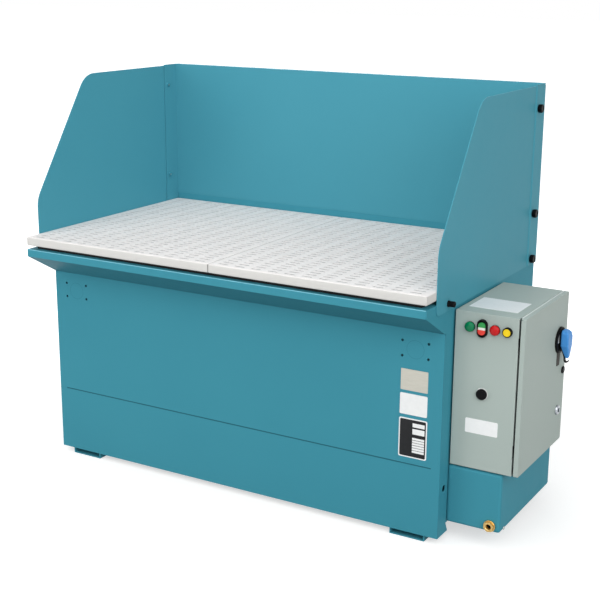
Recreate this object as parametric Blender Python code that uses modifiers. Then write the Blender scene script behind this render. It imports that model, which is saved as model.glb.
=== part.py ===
"""Downdraft table for sanding and deburring, built piece by piece in metres with +Z up.

A sheet steel cabinet draws air down through a slotted work surface, through two filter
cartridges and a blower, and out at the rear. Three shields stand round the surface, and a
control enclosure hangs on the right-hand side above the compressed-air tank.

Places are worked out with X = 0 on the cabinet's centre line, Y = 0 on the face of the front
panel and Z = 0 on the floor. The last step stands the finished table over the origin.
"""
import math

import bmesh
import bpy
from mathutils import Euler, Vector

# Cabinet, from the photograph: 60 in wide and 36 in from the lip to the back shield
CABINET_WIDTH = 1.524
CABINET_DEPTH = 0.7567
FLOOR_GAP = 0.022
FRONT_HEIGHT = 0.672
SLOPE_RISE = 0.079
LIP_HEIGHT = 0.026
LIP_REACH = 0.138
SHEET = 0.0025

# Clearances that every fit shares, and the overrun of every cut
FIT = 0.0003
RUN = 0.001
OVERRUN = 0.010

# Work surface: two slotted plastic panels on a foam seal
SEAL_GAP = 0.014
SURFACE_THICKNESS = 0.030
SURFACE_OVERHANG = 0.002
SLOT_LENGTH = 0.038
SLOT_WIDTH = 0.007
SLOT_PITCH_X = 0.061
SLOT_PITCH_Y = 0.0822
SLOT_MARGIN = 0.022

# Shields
SHIELD_SHEET = 0.0025
SHIELD_RISE = 0.535
BACK_RISE = 0.538
SHIELD_SETBACK = 0.067
SHIELD_LAP = 0.034
SHIELD_KNEE_RISE = 0.1215
SHIELD_SLOPE_RUN = 0.280
SHIELD_TOP_RADIUS = 0.090
SHIELD_KNEE_RADIUS = 0.095
SHIELD_FOOT_RADIUS = 0.016
FLANGE_WIDTH = 0.075
BACK_LAP = 0.034
BACK_HEM = 0.019

# Control enclosure on the right-hand side
ENCLOSURE_DEPTH = 0.2025
ENCLOSURE_WIDTH = 0.392
ENCLOSURE_HEIGHT = 0.500
ENCLOSURE_FRONT = 0.062
ENCLOSURE_BASE = 0.258
ENCLOSURE_SHEET = 0.0015
ENCLOSURE_STANDOFF = 0.006
DOOR_GAP = 0.0045
DOOR_THICKNESS = 0.016

# Compressed-air tank under the enclosure
TANK_DEPTH = 0.180
TANK_WIDTH = 0.453
TANK_HEIGHT = 0.194
TANK_BASE = 0.059
TANK_WALL = 0.004

# Filters, drawer and blower inside the cabinet
CARTRIDGE_DIAMETER = 0.325
CARTRIDGE_LENGTH = 0.660
CARTRIDGE_DROP = 0.259
CARTRIDGE_SPACING = 0.365
TUBE_SHEET_X = 0.250
DRAWER_LENGTH = 0.750
DRAWER_WIDTH = 0.460
DRAWER_HEIGHT = 0.100
DRAWER_SHEET = 0.002
FAN_DIAMETER = 0.300
FAN_WIDTH = 0.090
MOTOR_DIAMETER = 0.200
MOTOR_LENGTH = 0.250

# Heights and faces that follow from the sizes above
HALF_WIDTH = CABINET_WIDTH / 2
SLOPE_Z = FLOOR_GAP + FRONT_HEIGHT
LIP_Z = SLOPE_Z + SLOPE_RISE
CABINET_TOP = LIP_Z + LIP_HEIGHT
CARTRIDGE_HEIGHT = CABINET_TOP - CARTRIDGE_DROP
SURFACE_BASE = CABINET_TOP + SEAL_GAP
SURFACE_TOP = SURFACE_BASE + SURFACE_THICKNESS
SURFACE_FRONT = -LIP_REACH - SURFACE_OVERHANG
INNER_X = HALF_WIDTH - SHEET - FIT

# How an outline is turned: the two letters name the axes that it is drawn in. A turned piece's
# own axis points the way that its name says. Edges flatter than the last angle look smooth.
IN_YZ = Euler((math.pi / 2, 0, math.pi / 2))
IN_XZ = Euler((math.pi / 2, 0, 0))
IN_XY = Euler((0, 0, 0))
TO_RIGHT = Euler((0, math.pi / 2, 0))
TO_LEFT = Euler((0, -math.pi / 2, 0))
TO_FRONT = Euler((math.pi / 2, 0, 0))
SMOOTH_ANGLE = math.radians(40)

for leftover in list(bpy.data.objects):
    bpy.data.objects.remove(leftover, do_unlink=True)


def new_collection(name):
    """A collection of that name in the scene."""
    collection = bpy.data.collections.new(name)
    bpy.context.scene.collection.children.link(collection)
    return collection


TABLE = new_collection("downdraft_table")
CUTTERS = new_collection("cutters")


def finish(name, red, green, blue, roughness, metallic=0.0):
    """A Principled material with one colour, roughness and metallic value."""
    material = bpy.data.materials.new(name)
    material.use_nodes = True
    shader = material.node_tree.nodes["Principled BSDF"]
    shader.inputs["Base Color"].default_value = (red, green, blue, 1)
    shader.inputs["Roughness"].default_value = roughness
    shader.inputs["Metallic"].default_value = metallic
    return material


TEAL = finish("teal_powder_coat", 0.050, 0.270, 0.360, 0.45)
GREY = finish("grey_powder_coat", 0.360, 0.410, 0.390, 0.50)
WHITE = finish("white_slotted_plastic", 0.780, 0.780, 0.760, 0.60)
BLACK = finish("black_plastic", 0.012, 0.012, 0.013, 0.45)
FOAM = finish("black_foam_rubber", 0.015, 0.015, 0.015, 0.90)
STEEL = finish("zinc_plated_steel", 0.600, 0.600, 0.590, 0.35, 1.0)
CAST = finish("grey_motor_enamel", 0.130, 0.140, 0.150, 0.55)
PAPER = finish("filter_media", 0.740, 0.710, 0.620, 0.95)
BRASS = finish("brass", 0.760, 0.550, 0.250, 0.30, 1.0)
BLUE = finish("blue_plastic", 0.060, 0.240, 0.680, 0.40)
GREEN = finish("green_plastic", 0.010, 0.300, 0.110, 0.30)
RED = finish("red_plastic", 0.620, 0.020, 0.020, 0.30)
YELLOW = finish("yellow_plastic", 0.850, 0.600, 0.010, 0.35)


def add_object(name, data, material, location=(0, 0, 0), turn=IN_XY, collection=TABLE):
    """An object for that mesh or curve, placed by its location and rotation."""
    obj = bpy.data.objects.new(name, data)
    if material:
        data.materials.append(material)
    obj.location = location
    obj.rotation_euler = turn
    collection.objects.link(obj)
    return obj


def as_cutter(obj):
    """Set an object aside as a cutter, which isn't part of the table."""
    for collection in list(obj.users_collection):
        collection.objects.unlink(obj)
    CUTTERS.objects.link(obj)
    obj.hide_render = True
    obj.display_type = "WIRE"
    return obj


def box(name, low, high, material):
    """A block between two opposite corners, with its origin at its centre."""
    low, high = Vector(low), Vector(high)
    mesh = bpy.data.meshes.new(name)
    shape = bmesh.new()
    bmesh.ops.create_cube(shape, size=1)
    bmesh.ops.scale(shape, vec=high - low, verts=shape.verts)
    shape.to_mesh(mesh)
    shape.free()
    return add_object(name, mesh, material, (low + high) / 2)


def rounded(corners, steps=4):
    """Outline points from (x, y, radius) corners, each rounded by an arc of that radius."""
    points = []
    count = len(corners)
    for index, (x, y, radius) in enumerate(corners):
        here = Vector((x, y))
        if radius == 0:
            points.append(here)
            continue
        back = (Vector(corners[index - 1][:2]) - here).normalized()
        ahead = (Vector(corners[(index + 1) % count][:2]) - here).normalized()
        half = back.angle(ahead) / 2
        centre = here + (back + ahead).normalized() * radius / math.sin(half)
        start = here + back * radius / math.tan(half) - centre
        sweep = math.pi - 2 * half
        if back.x * ahead.y - back.y * ahead.x > 0:
            sweep = -sweep
        for step in range(steps + 1):
            angle = sweep * step / steps
            turned_arm = Vector((start.x * math.cos(angle) - start.y * math.sin(angle),
                                 start.x * math.sin(angle) + start.y * math.cos(angle)))
            points.append(centre + turned_arm)
    return points


def rectangle(x0, y0, x1, y1, radius=0, steps=3):
    """A rectangle's outline, with rounded corners if it is given a radius."""
    return rounded([(x0, y0, radius), (x1, y0, radius), (x1, y1, radius), (x0, y1, radius)], steps)


def circle(x, y, radius, sides=12):
    """A regular outline with its corners on a circle."""
    angles = [2 * math.pi * side / sides for side in range(sides)]
    return [Vector((x + radius * math.cos(a), y + radius * math.sin(a))) for a in angles]


def plate(name, outlines, thickness, material, location=(0, 0, 0), turn=IN_XY):
    """A flat piece: filled outlines, the inner ones as holes, extruded about their own plane."""
    curve = bpy.data.curves.new(name, "CURVE")
    curve.dimensions = "2D"
    curve.fill_mode = "BOTH"
    curve.extrude = thickness / 2
    for outline in outlines:
        spline = curve.splines.new("POLY")
        spline.points.add(len(outline) - 1)
        for point, place in zip(spline.points, outline):
            point.co = (place[0], place[1], 0, 1)
        spline.use_cyclic_u = True
    return add_object(name, curve, material, location, turn)


def as_mesh(obj):
    """Turn a curve or a spun profile into a welded mesh, smooth where it is round."""
    bpy.context.view_layer.update()
    graph = bpy.context.evaluated_depsgraph_get()
    mesh = bpy.data.meshes.new_from_object(obj.evaluated_get(graph))
    shape = bmesh.new()
    shape.from_mesh(mesh)
    bmesh.ops.remove_doubles(shape, verts=shape.verts, dist=FIT / 10)
    bmesh.ops.recalc_face_normals(shape, faces=shape.faces)
    shape.to_mesh(mesh)
    shape.free()
    mesh.shade_smooth()
    mesh.set_sharp_from_angle(angle=SMOOTH_ANGLE)
    name, matrix = obj.name, obj.matrix_world.copy()
    bpy.data.objects.remove(obj, do_unlink=True)
    solid = add_object(name, mesh, None)
    solid.matrix_world = matrix
    return solid


def solid_plate(*values, **named):
    """A flat piece as a mesh, for cutting and joining."""
    return as_mesh(plate(*values, **named))


def boolean(obj, other, operation, solver="EXACT"):
    """Cut, join or intersect a mesh object with another, which becomes a cutter."""
    modifier = obj.modifiers.new(operation.lower(), "BOOLEAN")
    modifier.operation = operation
    modifier.solver = solver
    modifier.object = as_cutter(other)
    return obj


def cut(obj, *cutters):
    """Take each cutter's shape out of an object."""
    for cutter in cutters:
        boolean(obj, cutter, "DIFFERENCE")
    return obj


def join(obj, *others):
    """Weld other solids to an object."""
    for other in others:
        boolean(obj, other, "UNION")
    return obj


def turned(name, profile, material, location=(0, 0, 0), turn=IN_XY, steps=16, closed=False):
    """A turned piece: (radius, height) points from top to bottom, spun round local Z."""
    mesh = bpy.data.meshes.new(name)
    edges = [(i, i + 1) for i in range(len(profile) - 1)]
    if closed:
        edges.append((len(profile) - 1, 0))
    mesh.from_pydata([(radius, 0, height) for radius, height in profile], edges, [])
    obj = add_object(name, mesh, material, location, turn)
    spin = obj.modifiers.new("spin", "SCREW")
    spin.steps = steps
    spin.render_steps = steps
    spin.use_merge_vertices = True
    spin.merge_threshold = FIT / 10
    return as_mesh(obj)


def rod(name, radius, low, high, material, location=(0, 0, 0), turn=IN_XY, steps=12):
    """A straight round bar between two heights on local Z."""
    return turned(name, [(0, high), (radius, high), (radius, low), (0, low)], material,
                  location, turn, steps)


def ring(name, inner, outer, low, high, material, location=(0, 0, 0), turn=IN_XY, steps=16):
    """A straight round sleeve with a bore."""
    return turned(name, [(outer, high), (outer, low), (inner, low), (inner, high)], material,
                  location, turn, steps, closed=True)


def pipe(name, route, radius, material, sides=2):
    """A bent tube along a list of points."""
    curve = bpy.data.curves.new(name, "CURVE")
    curve.dimensions = "3D"
    curve.bevel_depth = radius
    curve.bevel_resolution = sides
    curve.use_fill_caps = True
    spline = curve.splines.new("POLY")
    spline.points.add(len(route) - 1)
    for point, place in zip(spline.points, route):
        point.co = (*place, 1)
    return add_object(name, curve, material)


def round_edges(obj, width, segments=2):
    """Round every sharp edge of a piece."""
    bevel = obj.modifiers.new("rounding", "BEVEL")
    bevel.width = width
    bevel.segments = segments
    bevel.limit_method = "ANGLE"
    return obj


def pivot(name, location):
    """An empty on a joint's axis."""
    empty = add_object(name, None, None, location)
    empty.empty_display_size = FIT
    return empty


def hang(pieces, carrier):
    """Parent pieces to an empty without moving them."""
    for piece in pieces:
        piece.parent = carrier
        piece.location = piece.location - carrier.location


# Cabinet shell

RELIEF = 0.008
CORNER_LEG_FOOT = 0.078
CORNER_LEG_TOP = 0.062
UNDERCUT = 0.032
PAN_TOP = FLOOR_GAP + UNDERCUT + SHEET
SIDE_HOLE_DIAMETER = 0.023
SIDE_HOLE_Y = 0.0376
SIDE_HOLE_Z = 0.181
REAR_FACE = CABINET_DEPTH - SHEET


def side_outline():
    """The side panel's outline: two corner legs, an undercut and the sloped nose at the front."""
    front = SHEET + FIT
    rear = REAR_FACE - FIT
    return [(front, FLOOR_GAP), (CORNER_LEG_FOOT, FLOOR_GAP),
            (CORNER_LEG_TOP, FLOOR_GAP + UNDERCUT), (rear - CORNER_LEG_TOP, FLOOR_GAP + UNDERCUT),
            (rear - CORNER_LEG_FOOT, FLOOR_GAP), (rear, FLOOR_GAP), (rear, CABINET_TOP),
            (-LIP_REACH, CABINET_TOP), (-LIP_REACH, LIP_Z), (0, SLOPE_Z), (RELIEF, SLOPE_Z),
            (RELIEF, SLOPE_Z - RELIEF), (front, SLOPE_Z - RELIEF)]


def knob_bores(side):
    """Cutters for the cabinet bolts' holes through one side panel and its rail."""
    return stud_bores(CABINET_BOLTS, side, HALF_WIDTH - RAIL_WIDTH, HALF_WIDTH + OVERRUN)


def side_panels():
    """Both side panels, with the hole at the right and the drawer's mouth at the left."""
    middle = HALF_WIDTH - SHEET / 2
    right = solid_plate("side_panel_right", [side_outline()], SHEET, TEAL, (middle, 0, 0), IN_YZ)
    left = solid_plate("side_panel_left", [side_outline()], SHEET, TEAL, (-middle, 0, 0), IN_YZ)
    cut(right, rod("side_hole", SIDE_HOLE_DIAMETER / 2, middle - OVERRUN, middle + OVERRUN, None,
                   (0, SIDE_HOLE_Y, SIDE_HOLE_Z), TO_RIGHT))
    mouth = DRAWER_FRONT_Y - RUN
    cut(left, box("drawer_mouth", (-middle - OVERRUN, mouth, DRAWER_BASE - RUN),
                  (-middle + OVERRUN, CABINET_DEPTH - mouth, DRAWER_TOP + RUN), None))
    cut(right, *knob_bores(1), *pipe_bores(), nipple_bore())
    cut(left, *knob_bores(-1))


CREASE_Z = 0.254
CREASE_END = 0.030
CREASE_WIDTH = 0.003
CREASE_DEPTH = 0.0008
KNOCKOUT_X = 0.667
KNOCKOUT_DROP = 0.063
KNOCKOUT_HOLES_X = 0.088
KNOCKOUT_HOLES_Z = 0.049
KNOCKOUT_HOLE_RADIUS = 0.003


def front_panel():
    """The front panel, with the crease low down and four small holes near each upper corner."""
    holes = [circle(side * KNOCKOUT_X + across * KNOCKOUT_HOLES_X / 2,
                    SLOPE_Z - KNOCKOUT_DROP + up * KNOCKOUT_HOLES_Z / 2, KNOCKOUT_HOLE_RADIUS, 6)
             for side in (-1, 1) for across in (-1, 1) for up in (-1, 1)]
    sheet = rectangle(-HALF_WIDTH, FLOOR_GAP, HALF_WIDTH, SLOPE_Z - FIT)
    panel = solid_plate("front_panel", [sheet] + holes, SHEET, TEAL, (0, SHEET / 2, 0), IN_XZ)
    end = HALF_WIDTH - CREASE_END
    cut(panel, box("crease", (-end, -OVERRUN, CREASE_Z - CREASE_WIDTH / 2),
                   (end, CREASE_DEPTH, CREASE_Z + CREASE_WIDTH / 2), None))


LIP_FLANGE = 0.045
LIP_TUCK = 0.020


def front_lip():
    """The lip, one bent sheet: flange, upright face, sloped tray and a tuck behind the panel."""
    face = -LIP_REACH
    rise = SHEET * math.hypot(LIP_REACH, SLOPE_RISE) / LIP_REACH
    tuck = SHEET + FIT
    corner = LIP_Z + rise - SHEET * SLOPE_RISE / LIP_REACH
    profile = [(face + LIP_FLANGE, CABINET_TOP), (face, CABINET_TOP), (face, LIP_Z), (0, SLOPE_Z),
               (tuck, SLOPE_Z), (tuck, SLOPE_Z - LIP_TUCK), (tuck + SHEET, SLOPE_Z - LIP_TUCK),
               (tuck + SHEET, SLOPE_Z), (0, SLOPE_Z + rise), (face + SHEET, corner),
               (face + SHEET, CABINET_TOP - SHEET), (face + LIP_FLANGE, CABINET_TOP - SHEET)]
    plate("front_lip", [profile], 2 * INNER_X, TEAL, (0, 0, 0), IN_YZ)


ACCESS_WIDTH = 0.690
ACCESS_X = -0.110
ACCESS_SILL = 0.0225
ACCESS_HEAD = 0.0125
ACCESS_LAP = 0.015
ACCESS_BASE = CARTRIDGE_HEIGHT - CARTRIDGE_DIAMETER / 2 - ACCESS_SILL
ACCESS_TOP = CARTRIDGE_HEIGHT + CARTRIDGE_DIAMETER / 2 + ACCESS_HEAD


def rear_panel():
    """The rear panel, with the service opening and the exhaust opening."""
    service = rectangle(ACCESS_X - ACCESS_WIDTH / 2, ACCESS_BASE, ACCESS_X + ACCESS_WIDTH / 2,
                        ACCESS_TOP)
    sheet = rectangle(-HALF_WIDTH, FLOOR_GAP, HALF_WIDTH, CABINET_TOP - SHEET - FIT)
    plate("rear_panel", [sheet, service, outlet_outline()], SHEET, TEAL,
          (0, REAR_FACE + SHEET / 2, 0), IN_XZ)


def access_panel():
    """The bolted cover over the service opening, on the outside of the rear panel."""
    reach = ACCESS_WIDTH / 2 + ACCESS_LAP
    outline = rectangle(ACCESS_X - reach, ACCESS_BASE - ACCESS_LAP, ACCESS_X + reach,
                        ACCESS_TOP + ACCESS_LAP, ACCESS_LAP)
    plate("access_panel", [outline], SHEET, TEAL,
          (0, CABINET_DEPTH + FIT + SHEET / 2, 0), IN_XZ)


FOOT_WIDTH = 0.122
FOOT_WALL = 0.004
FOOT_X = 0.654
FOOT_FRONT = 0.004


def foot_channels():
    """Two channels with their web on the floor, running from front to rear."""
    half = FOOT_WIDTH / 2
    top = PAN_TOP - SHEET - FIT
    channel = [(-half, 0), (half, 0), (half, top), (half - FOOT_WALL, top),
               (half - FOOT_WALL, FOOT_WALL), (-half + FOOT_WALL, FOOT_WALL),
               (-half + FOOT_WALL, top), (-half, top)]
    length = REAR_FACE - SHEET - 2 * FOOT_FRONT
    for name, side in (("foot_channel_left", -1), ("foot_channel_right", 1)):
        plate(name, [channel], length, TEAL, (side * FOOT_X, REAR_FACE / 2, 0), IN_XZ)


# Frame that carries the work surface

RAIL_WIDTH = 0.050
RAIL_LEG = 0.035
RAIL_WALL = 0.003
LEDGE_WIDTH = 0.035
UPSTAND = 0.022
BEAM_WIDTH = 0.050
BEAM_DEPTH = 0.045
BAR_WIDTH = 0.006
BAR_DEPTH = 0.035


def side_rail(side):
    """The angle inside the top edge of a side panel, under the seal, with its weld nuts."""
    front = -LIP_REACH + LIP_FLANGE + FIT
    rear = REAR_FACE - LEDGE_WIDTH - FIT
    outer = side * INNER_X
    inner = side * (INNER_X - RAIL_WIDTH)
    web = side * (INNER_X - RAIL_WALL)
    angle = [(outer, CABINET_TOP), (inner, CABINET_TOP), (inner, CABINET_TOP - RAIL_WALL),
             (web, CABINET_TOP - RAIL_WALL), (web, CABINET_TOP - RAIL_LEG),
             (outer, CABINET_TOP - RAIL_LEG)]
    rail = solid_plate("rail", [angle], rear - front, TEAL, (0, (front + rear) / 2, 0), IN_XZ)
    join(rail, *[weld_nut(side, INNER_X - RAIL_WALL, y, z) for y, z in CABINET_BOLTS])
    return cut(rail, *knob_bores(side))


def rear_rail():
    """The angle at the rear edge: a ledge under the seal and an upstand behind the surface."""
    ledge = REAR_FACE - LEDGE_WIDTH
    back = CABINET_DEPTH
    face = back - SHEET
    profile = [(ledge, CABINET_TOP), (ledge, CABINET_TOP - SHEET), (back, CABINET_TOP - SHEET),
               (back, SURFACE_TOP + UPSTAND), (face, SURFACE_TOP + UPSTAND), (face, CABINET_TOP)]
    plate("rear_rail", [profile], 2 * INNER_X, TEAL, (0, 0, 0), IN_YZ)


def surface_frame():
    """The welded frame under the surface: side rails, a beam below the seam and cross bars."""
    front = -LIP_REACH + LIP_FLANGE + FIT
    rear = REAR_FACE - LEDGE_WIDTH - FIT
    half = BEAM_WIDTH / 2
    channel = [(-half, CABINET_TOP), (-half, CABINET_TOP - BEAM_DEPTH),
               (-half + RAIL_WALL, CABINET_TOP - BEAM_DEPTH),
               (-half + RAIL_WALL, CABINET_TOP - RAIL_WALL),
               (half - RAIL_WALL, CABINET_TOP - RAIL_WALL),
               (half - RAIL_WALL, CABINET_TOP - BEAM_DEPTH),
               (half, CABINET_TOP - BEAM_DEPTH), (half, CABINET_TOP)]
    frame = solid_plate("surface_frame", [channel], rear - front, TEAL,
                        (0, (front + rear) / 2, 0), IN_XZ)
    reach = INNER_X - RAIL_WALL / 2
    top = CABINET_TOP - RAIL_WALL / 2
    for place in (front + (rear - front) / 3, front + 2 * (rear - front) / 3):
        for side in (-1, 1):
            ends = sorted((side * (half - RAIL_WALL / 2), side * reach))
            join(frame, box("bar", (ends[0], place - BAR_WIDTH / 2, top - BAR_DEPTH),
                            (ends[1], place + BAR_WIDTH / 2, top), None))
    join(frame, side_rail(-1), side_rail(1))


SEAL_WIDTH = 0.020
SEAL_INSET = 0.026


def surface_seal():
    """The black foam seal round both panels, with a strip along the seam."""
    outer_x = HALF_WIDTH - SEAL_INSET
    inner_x = outer_x - SEAL_WIDTH
    front = SURFACE_FRONT + SEAL_INSET
    rear = CABINET_DEPTH - SHEET - FIT
    strip = SEAL_WIDTH / 2
    outline = rectangle(-outer_x, front, outer_x, rear)
    left = rectangle(-inner_x, front + SEAL_WIDTH, -strip, rear - SEAL_WIDTH)
    right = rectangle(strip, front + SEAL_WIDTH, inner_x, rear - SEAL_WIDTH)
    plate("surface_seal", [outline, left, right], SEAL_GAP - 2 * FIT, FOAM,
          (0, 0, CABINET_TOP + SEAL_GAP / 2))


SURFACE_CORNER = 0.004


def slots(low_x, high_x, low_y, high_y):
    """Outlines of the slots that fit between two margins, at the same pitch and centred."""
    across = int((high_x - low_x - 2 * SLOT_MARGIN - SLOT_LENGTH) / SLOT_PITCH_X) + 1
    along = int((high_y - low_y - 2 * SLOT_MARGIN - SLOT_WIDTH) / SLOT_PITCH_Y) + 1
    middle_x = (low_x + high_x) / 2
    middle_y = (low_y + high_y) / 2
    found = []
    for column in range(across):
        x = middle_x + (column - (across - 1) / 2) * SLOT_PITCH_X
        for row in range(along):
            y = middle_y + (row - (along - 1) / 2) * SLOT_PITCH_Y
            found.append(rectangle(x - SLOT_LENGTH / 2, y - SLOT_WIDTH / 2,
                                   x + SLOT_LENGTH / 2, y + SLOT_WIDTH / 2))
    return found


def work_surfaces():
    """The two slotted panels that meet at the centre line."""
    rear = CABINET_DEPTH - SHEET - FIT
    for name, low, high in (("work_surface_left", -HALF_WIDTH, -FIT / 2),
                            ("work_surface_right", FIT / 2, HALF_WIDTH)):
        edge = rectangle(low, SURFACE_FRONT, high, rear, SURFACE_CORNER, 2)
        plate(name, [edge] + slots(low, high, SURFACE_FRONT, rear), SURFACE_THICKNESS, WHITE,
              (0, 0, SURFACE_BASE + SURFACE_THICKNESS / 2))


# Shields and their fasteners

JOGGLE = SHIELD_SHEET + FIT
JOGGLE_RUN = 0.005
SHIELD_FRONT = SURFACE_FRONT + SHIELD_SETBACK
SHIELD_BASE = CABINET_TOP - SHIELD_LAP
SHIELD_TOP = SURFACE_TOP + SHIELD_RISE
STRIP_FACE = HALF_WIDTH + FIT
SHEET_FACE = STRIP_FACE + SHIELD_SHEET
SHIELD_FACE = SHEET_FACE + JOGGLE
BACK_FACE = CABINET_DEPTH + FIT
BACK_TOP = SURFACE_TOP + BACK_RISE
BACK_BASE = CABINET_TOP - BACK_LAP
FLANGE_FRONT = BACK_FACE - FLANGE_WIDTH
ARC_STEPS = 6

STUD_RADIUS = 0.004
KNOB_RADIUS = 0.0145
KNOB_LENGTH = 0.015
KNOB_INSET = 0.057
KNOB_FLUTES = 10
FLUTE_DEPTH = 0.0012
BOLT_RADIUS = 0.010
BOLT_LENGTH = 0.022
NUT_RADIUS = 0.0075
NUT_LENGTH = 0.007
BOLT_DROP = 0.011
FRONT_BOLT_Y = 0.0085
TOP_KNOB_DROP = 0.075
LOWER_KNOB_RISE = 0.104
KNOB_Y = BACK_FACE - KNOB_INSET
BOLT_Z = CABINET_TOP - BOLT_DROP
SHIELD_KNOBS = [(KNOB_Y, SHIELD_TOP - TOP_KNOB_DROP), (KNOB_Y, SURFACE_TOP + LOWER_KNOB_RISE)]
CABINET_BOLTS = [(KNOB_Y, BOLT_Z), (FRONT_BOLT_Y, BOLT_Z)]


def outwards(side):
    """The turn that points a turned piece away from the cabinet at that side."""
    return TO_RIGHT if side > 0 else TO_LEFT


def inwards(side):
    """The turn that points a turned piece towards the cabinet from that side."""
    return TO_LEFT if side > 0 else TO_RIGHT


def stud_bores(places, side, near, far):
    """Cutters for the studs at those places, through what stands between two distances."""
    return [rod("stud_bore", STUD_RADIUS + FIT, near, far, None, (0, y, z), outwards(side))
            for y, z in places]


def shield_section(side):
    """A side shield seen from above: a flat sheet that steps outwards over the back's flange."""
    step = FLANGE_FRONT - 2 * FIT
    start = step - JOGGLE_RUN
    front = SHIELD_FRONT - OVERRUN
    rear = BACK_FACE + SHIELD_SHEET
    points = [(STRIP_FACE, front), (SHEET_FACE, front), (SHEET_FACE, start), (SHIELD_FACE, step),
              (SHIELD_FACE, rear), (SHEET_FACE + FIT, rear), (SHEET_FACE + FIT, step),
              (STRIP_FACE, start)]
    return [(side * x, y) for x, y in points]


def shield_outline():
    """A side shield seen from the side: a sloped front edge between two large radii."""
    knee = SURFACE_TOP + SHIELD_KNEE_RISE
    rear = BACK_FACE + OVERRUN
    return rounded([(SHIELD_FRONT, SHIELD_BASE, SHIELD_FOOT_RADIUS), (rear, SHIELD_BASE, 0),
                    (rear, SHIELD_TOP, 0),
                    (SHIELD_FRONT + SHIELD_SLOPE_RUN, SHIELD_TOP, SHIELD_TOP_RADIUS),
                    (SHIELD_FRONT, knee, SHIELD_KNEE_RADIUS)], ARC_STEPS)


def side_shields():
    """Both side shields: the stepped sheet, trimmed to its outline, with its stud holes."""
    height = SHIELD_TOP - SHIELD_BASE
    for name, side in (("side_shield_left", -1), ("side_shield_right", 1)):
        shield = solid_plate(name, [shield_section(side)], height + 2 * OVERRUN, TEAL,
                             (0, 0, SHIELD_BASE + height / 2))
        trim = solid_plate("trim", [shield_outline()], height, None,
                           (side * HALF_WIDTH, 0, 0), IN_YZ)
        boolean(shield, trim, "INTERSECT")
        cut(shield, *stud_bores(SHIELD_KNOBS + CABINET_BOLTS, side, HALF_WIDTH - OVERRUN,
                                SHIELD_FACE + OVERRUN))


def back_shield():
    """The back shield: a wide pan with a hem on top, its flanges inside the side shields."""
    inner, outer = STRIP_FACE, SHEET_FACE
    rear = BACK_FACE + SHIELD_SHEET
    section = [(-outer, FLANGE_FRONT), (-inner, FLANGE_FRONT), (-inner, BACK_FACE),
               (inner, BACK_FACE), (inner, FLANGE_FRONT), (outer, FLANGE_FRONT),
               (outer, rear), (-outer, rear)]
    height = BACK_TOP - BACK_BASE
    shield = solid_plate("back_shield", [section], height, TEAL, (0, 0, BACK_BASE + height / 2))
    join(shield, box("hem", (-inner, BACK_FACE + SHIELD_SHEET / 2, BACK_TOP - SHIELD_SHEET),
                     (inner, BACK_FACE + BACK_HEM, BACK_TOP), None))
    for side in (-1, 1):
        join(shield, *[weld_nut(side, inner, y, z) for y, z in SHIELD_KNOBS])
        cut(shield, *stud_bores(SHIELD_KNOBS + CABINET_BOLTS[:1], side, HALF_WIDTH - OVERRUN,
                                SHIELD_FACE + OVERRUN))


def weld_nut(side, wall, y, z):
    """A nut welded on the inner face of a wall, still without its bore."""
    return rod("weld_nut", NUT_RADIUS, -FIT, NUT_LENGTH, None, (side * wall, y, z), inwards(side), 6)


def shield_knob(name, y, z, side, reach):
    """A fluted black knob against a flange, on a stud that runs inwards by that reach."""
    face = side * (SHIELD_FACE + FIT)
    outline = []
    for corner in range(2 * KNOB_FLUTES):
        radius = KNOB_RADIUS if corner % 2 == 0 else KNOB_RADIUS - FLUTE_DEPTH
        angle = math.pi * corner / KNOB_FLUTES
        outline.append((radius * math.cos(angle), radius * math.sin(angle)))
    knob = solid_plate(name, [outline], KNOB_LENGTH, BLACK, (face + side * KNOB_LENGTH / 2, y, z),
                       IN_YZ)
    join(knob, rod("stud", STUD_RADIUS, -reach, KNOB_LENGTH / 2, None, (face, y, z),
                   outwards(side)))


def front_bolt(name, side, reach):
    """The longer smooth head at the front edge of a side shield, on the same stud."""
    y, z = CABINET_BOLTS[1]
    edge = BOLT_LENGTH / 8
    profile = [(0, BOLT_LENGTH), (BOLT_RADIUS - edge, BOLT_LENGTH),
               (BOLT_RADIUS, BOLT_LENGTH - edge), (BOLT_RADIUS, 0), (STUD_RADIUS, 0),
               (STUD_RADIUS, -reach), (0, -reach)]
    turned(name, profile, BLACK, (side * (SHEET_FACE + FIT), y, z), outwards(side), 12)


def shield_fasteners():
    """Three knobs at each rear corner and a bolt at each front corner."""
    web = INNER_X - RAIL_WALL
    for word, side in (("left", -1), ("right", 1)):
        for height, (y, z) in zip(("top", "middle", "low"), SHIELD_KNOBS + CABINET_BOLTS[:1]):
            wall = web if height == "low" else STRIP_FACE
            shield_knob(f"shield_knob_{word}_{height}", y, z, side, SHIELD_FACE - wall + NUT_LENGTH)
        front_bolt(f"front_bolt_{word}", side, SHEET_FACE - web + NUT_LENGTH)


# Filters

PLEATS = 20
PLEAT_DEPTH = 0.012
CAP_THICKNESS = 0.012
CAP_RIM = 0.004
MOUTH_DIAMETER = 0.170
ROUND_STEPS = 18
MOUTH_STEPS = 16
CARTRIDGE_PLACES = [(CABINET_DEPTH + side * CARTRIDGE_SPACING) / 2 for side in (-1, 1)]
TUBE_SHEET_TOP = CABINET_TOP - BEAM_DEPTH - OVERRUN
TUBE_FACE = TUBE_SHEET_X - SHEET / 2 - FIT


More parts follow.
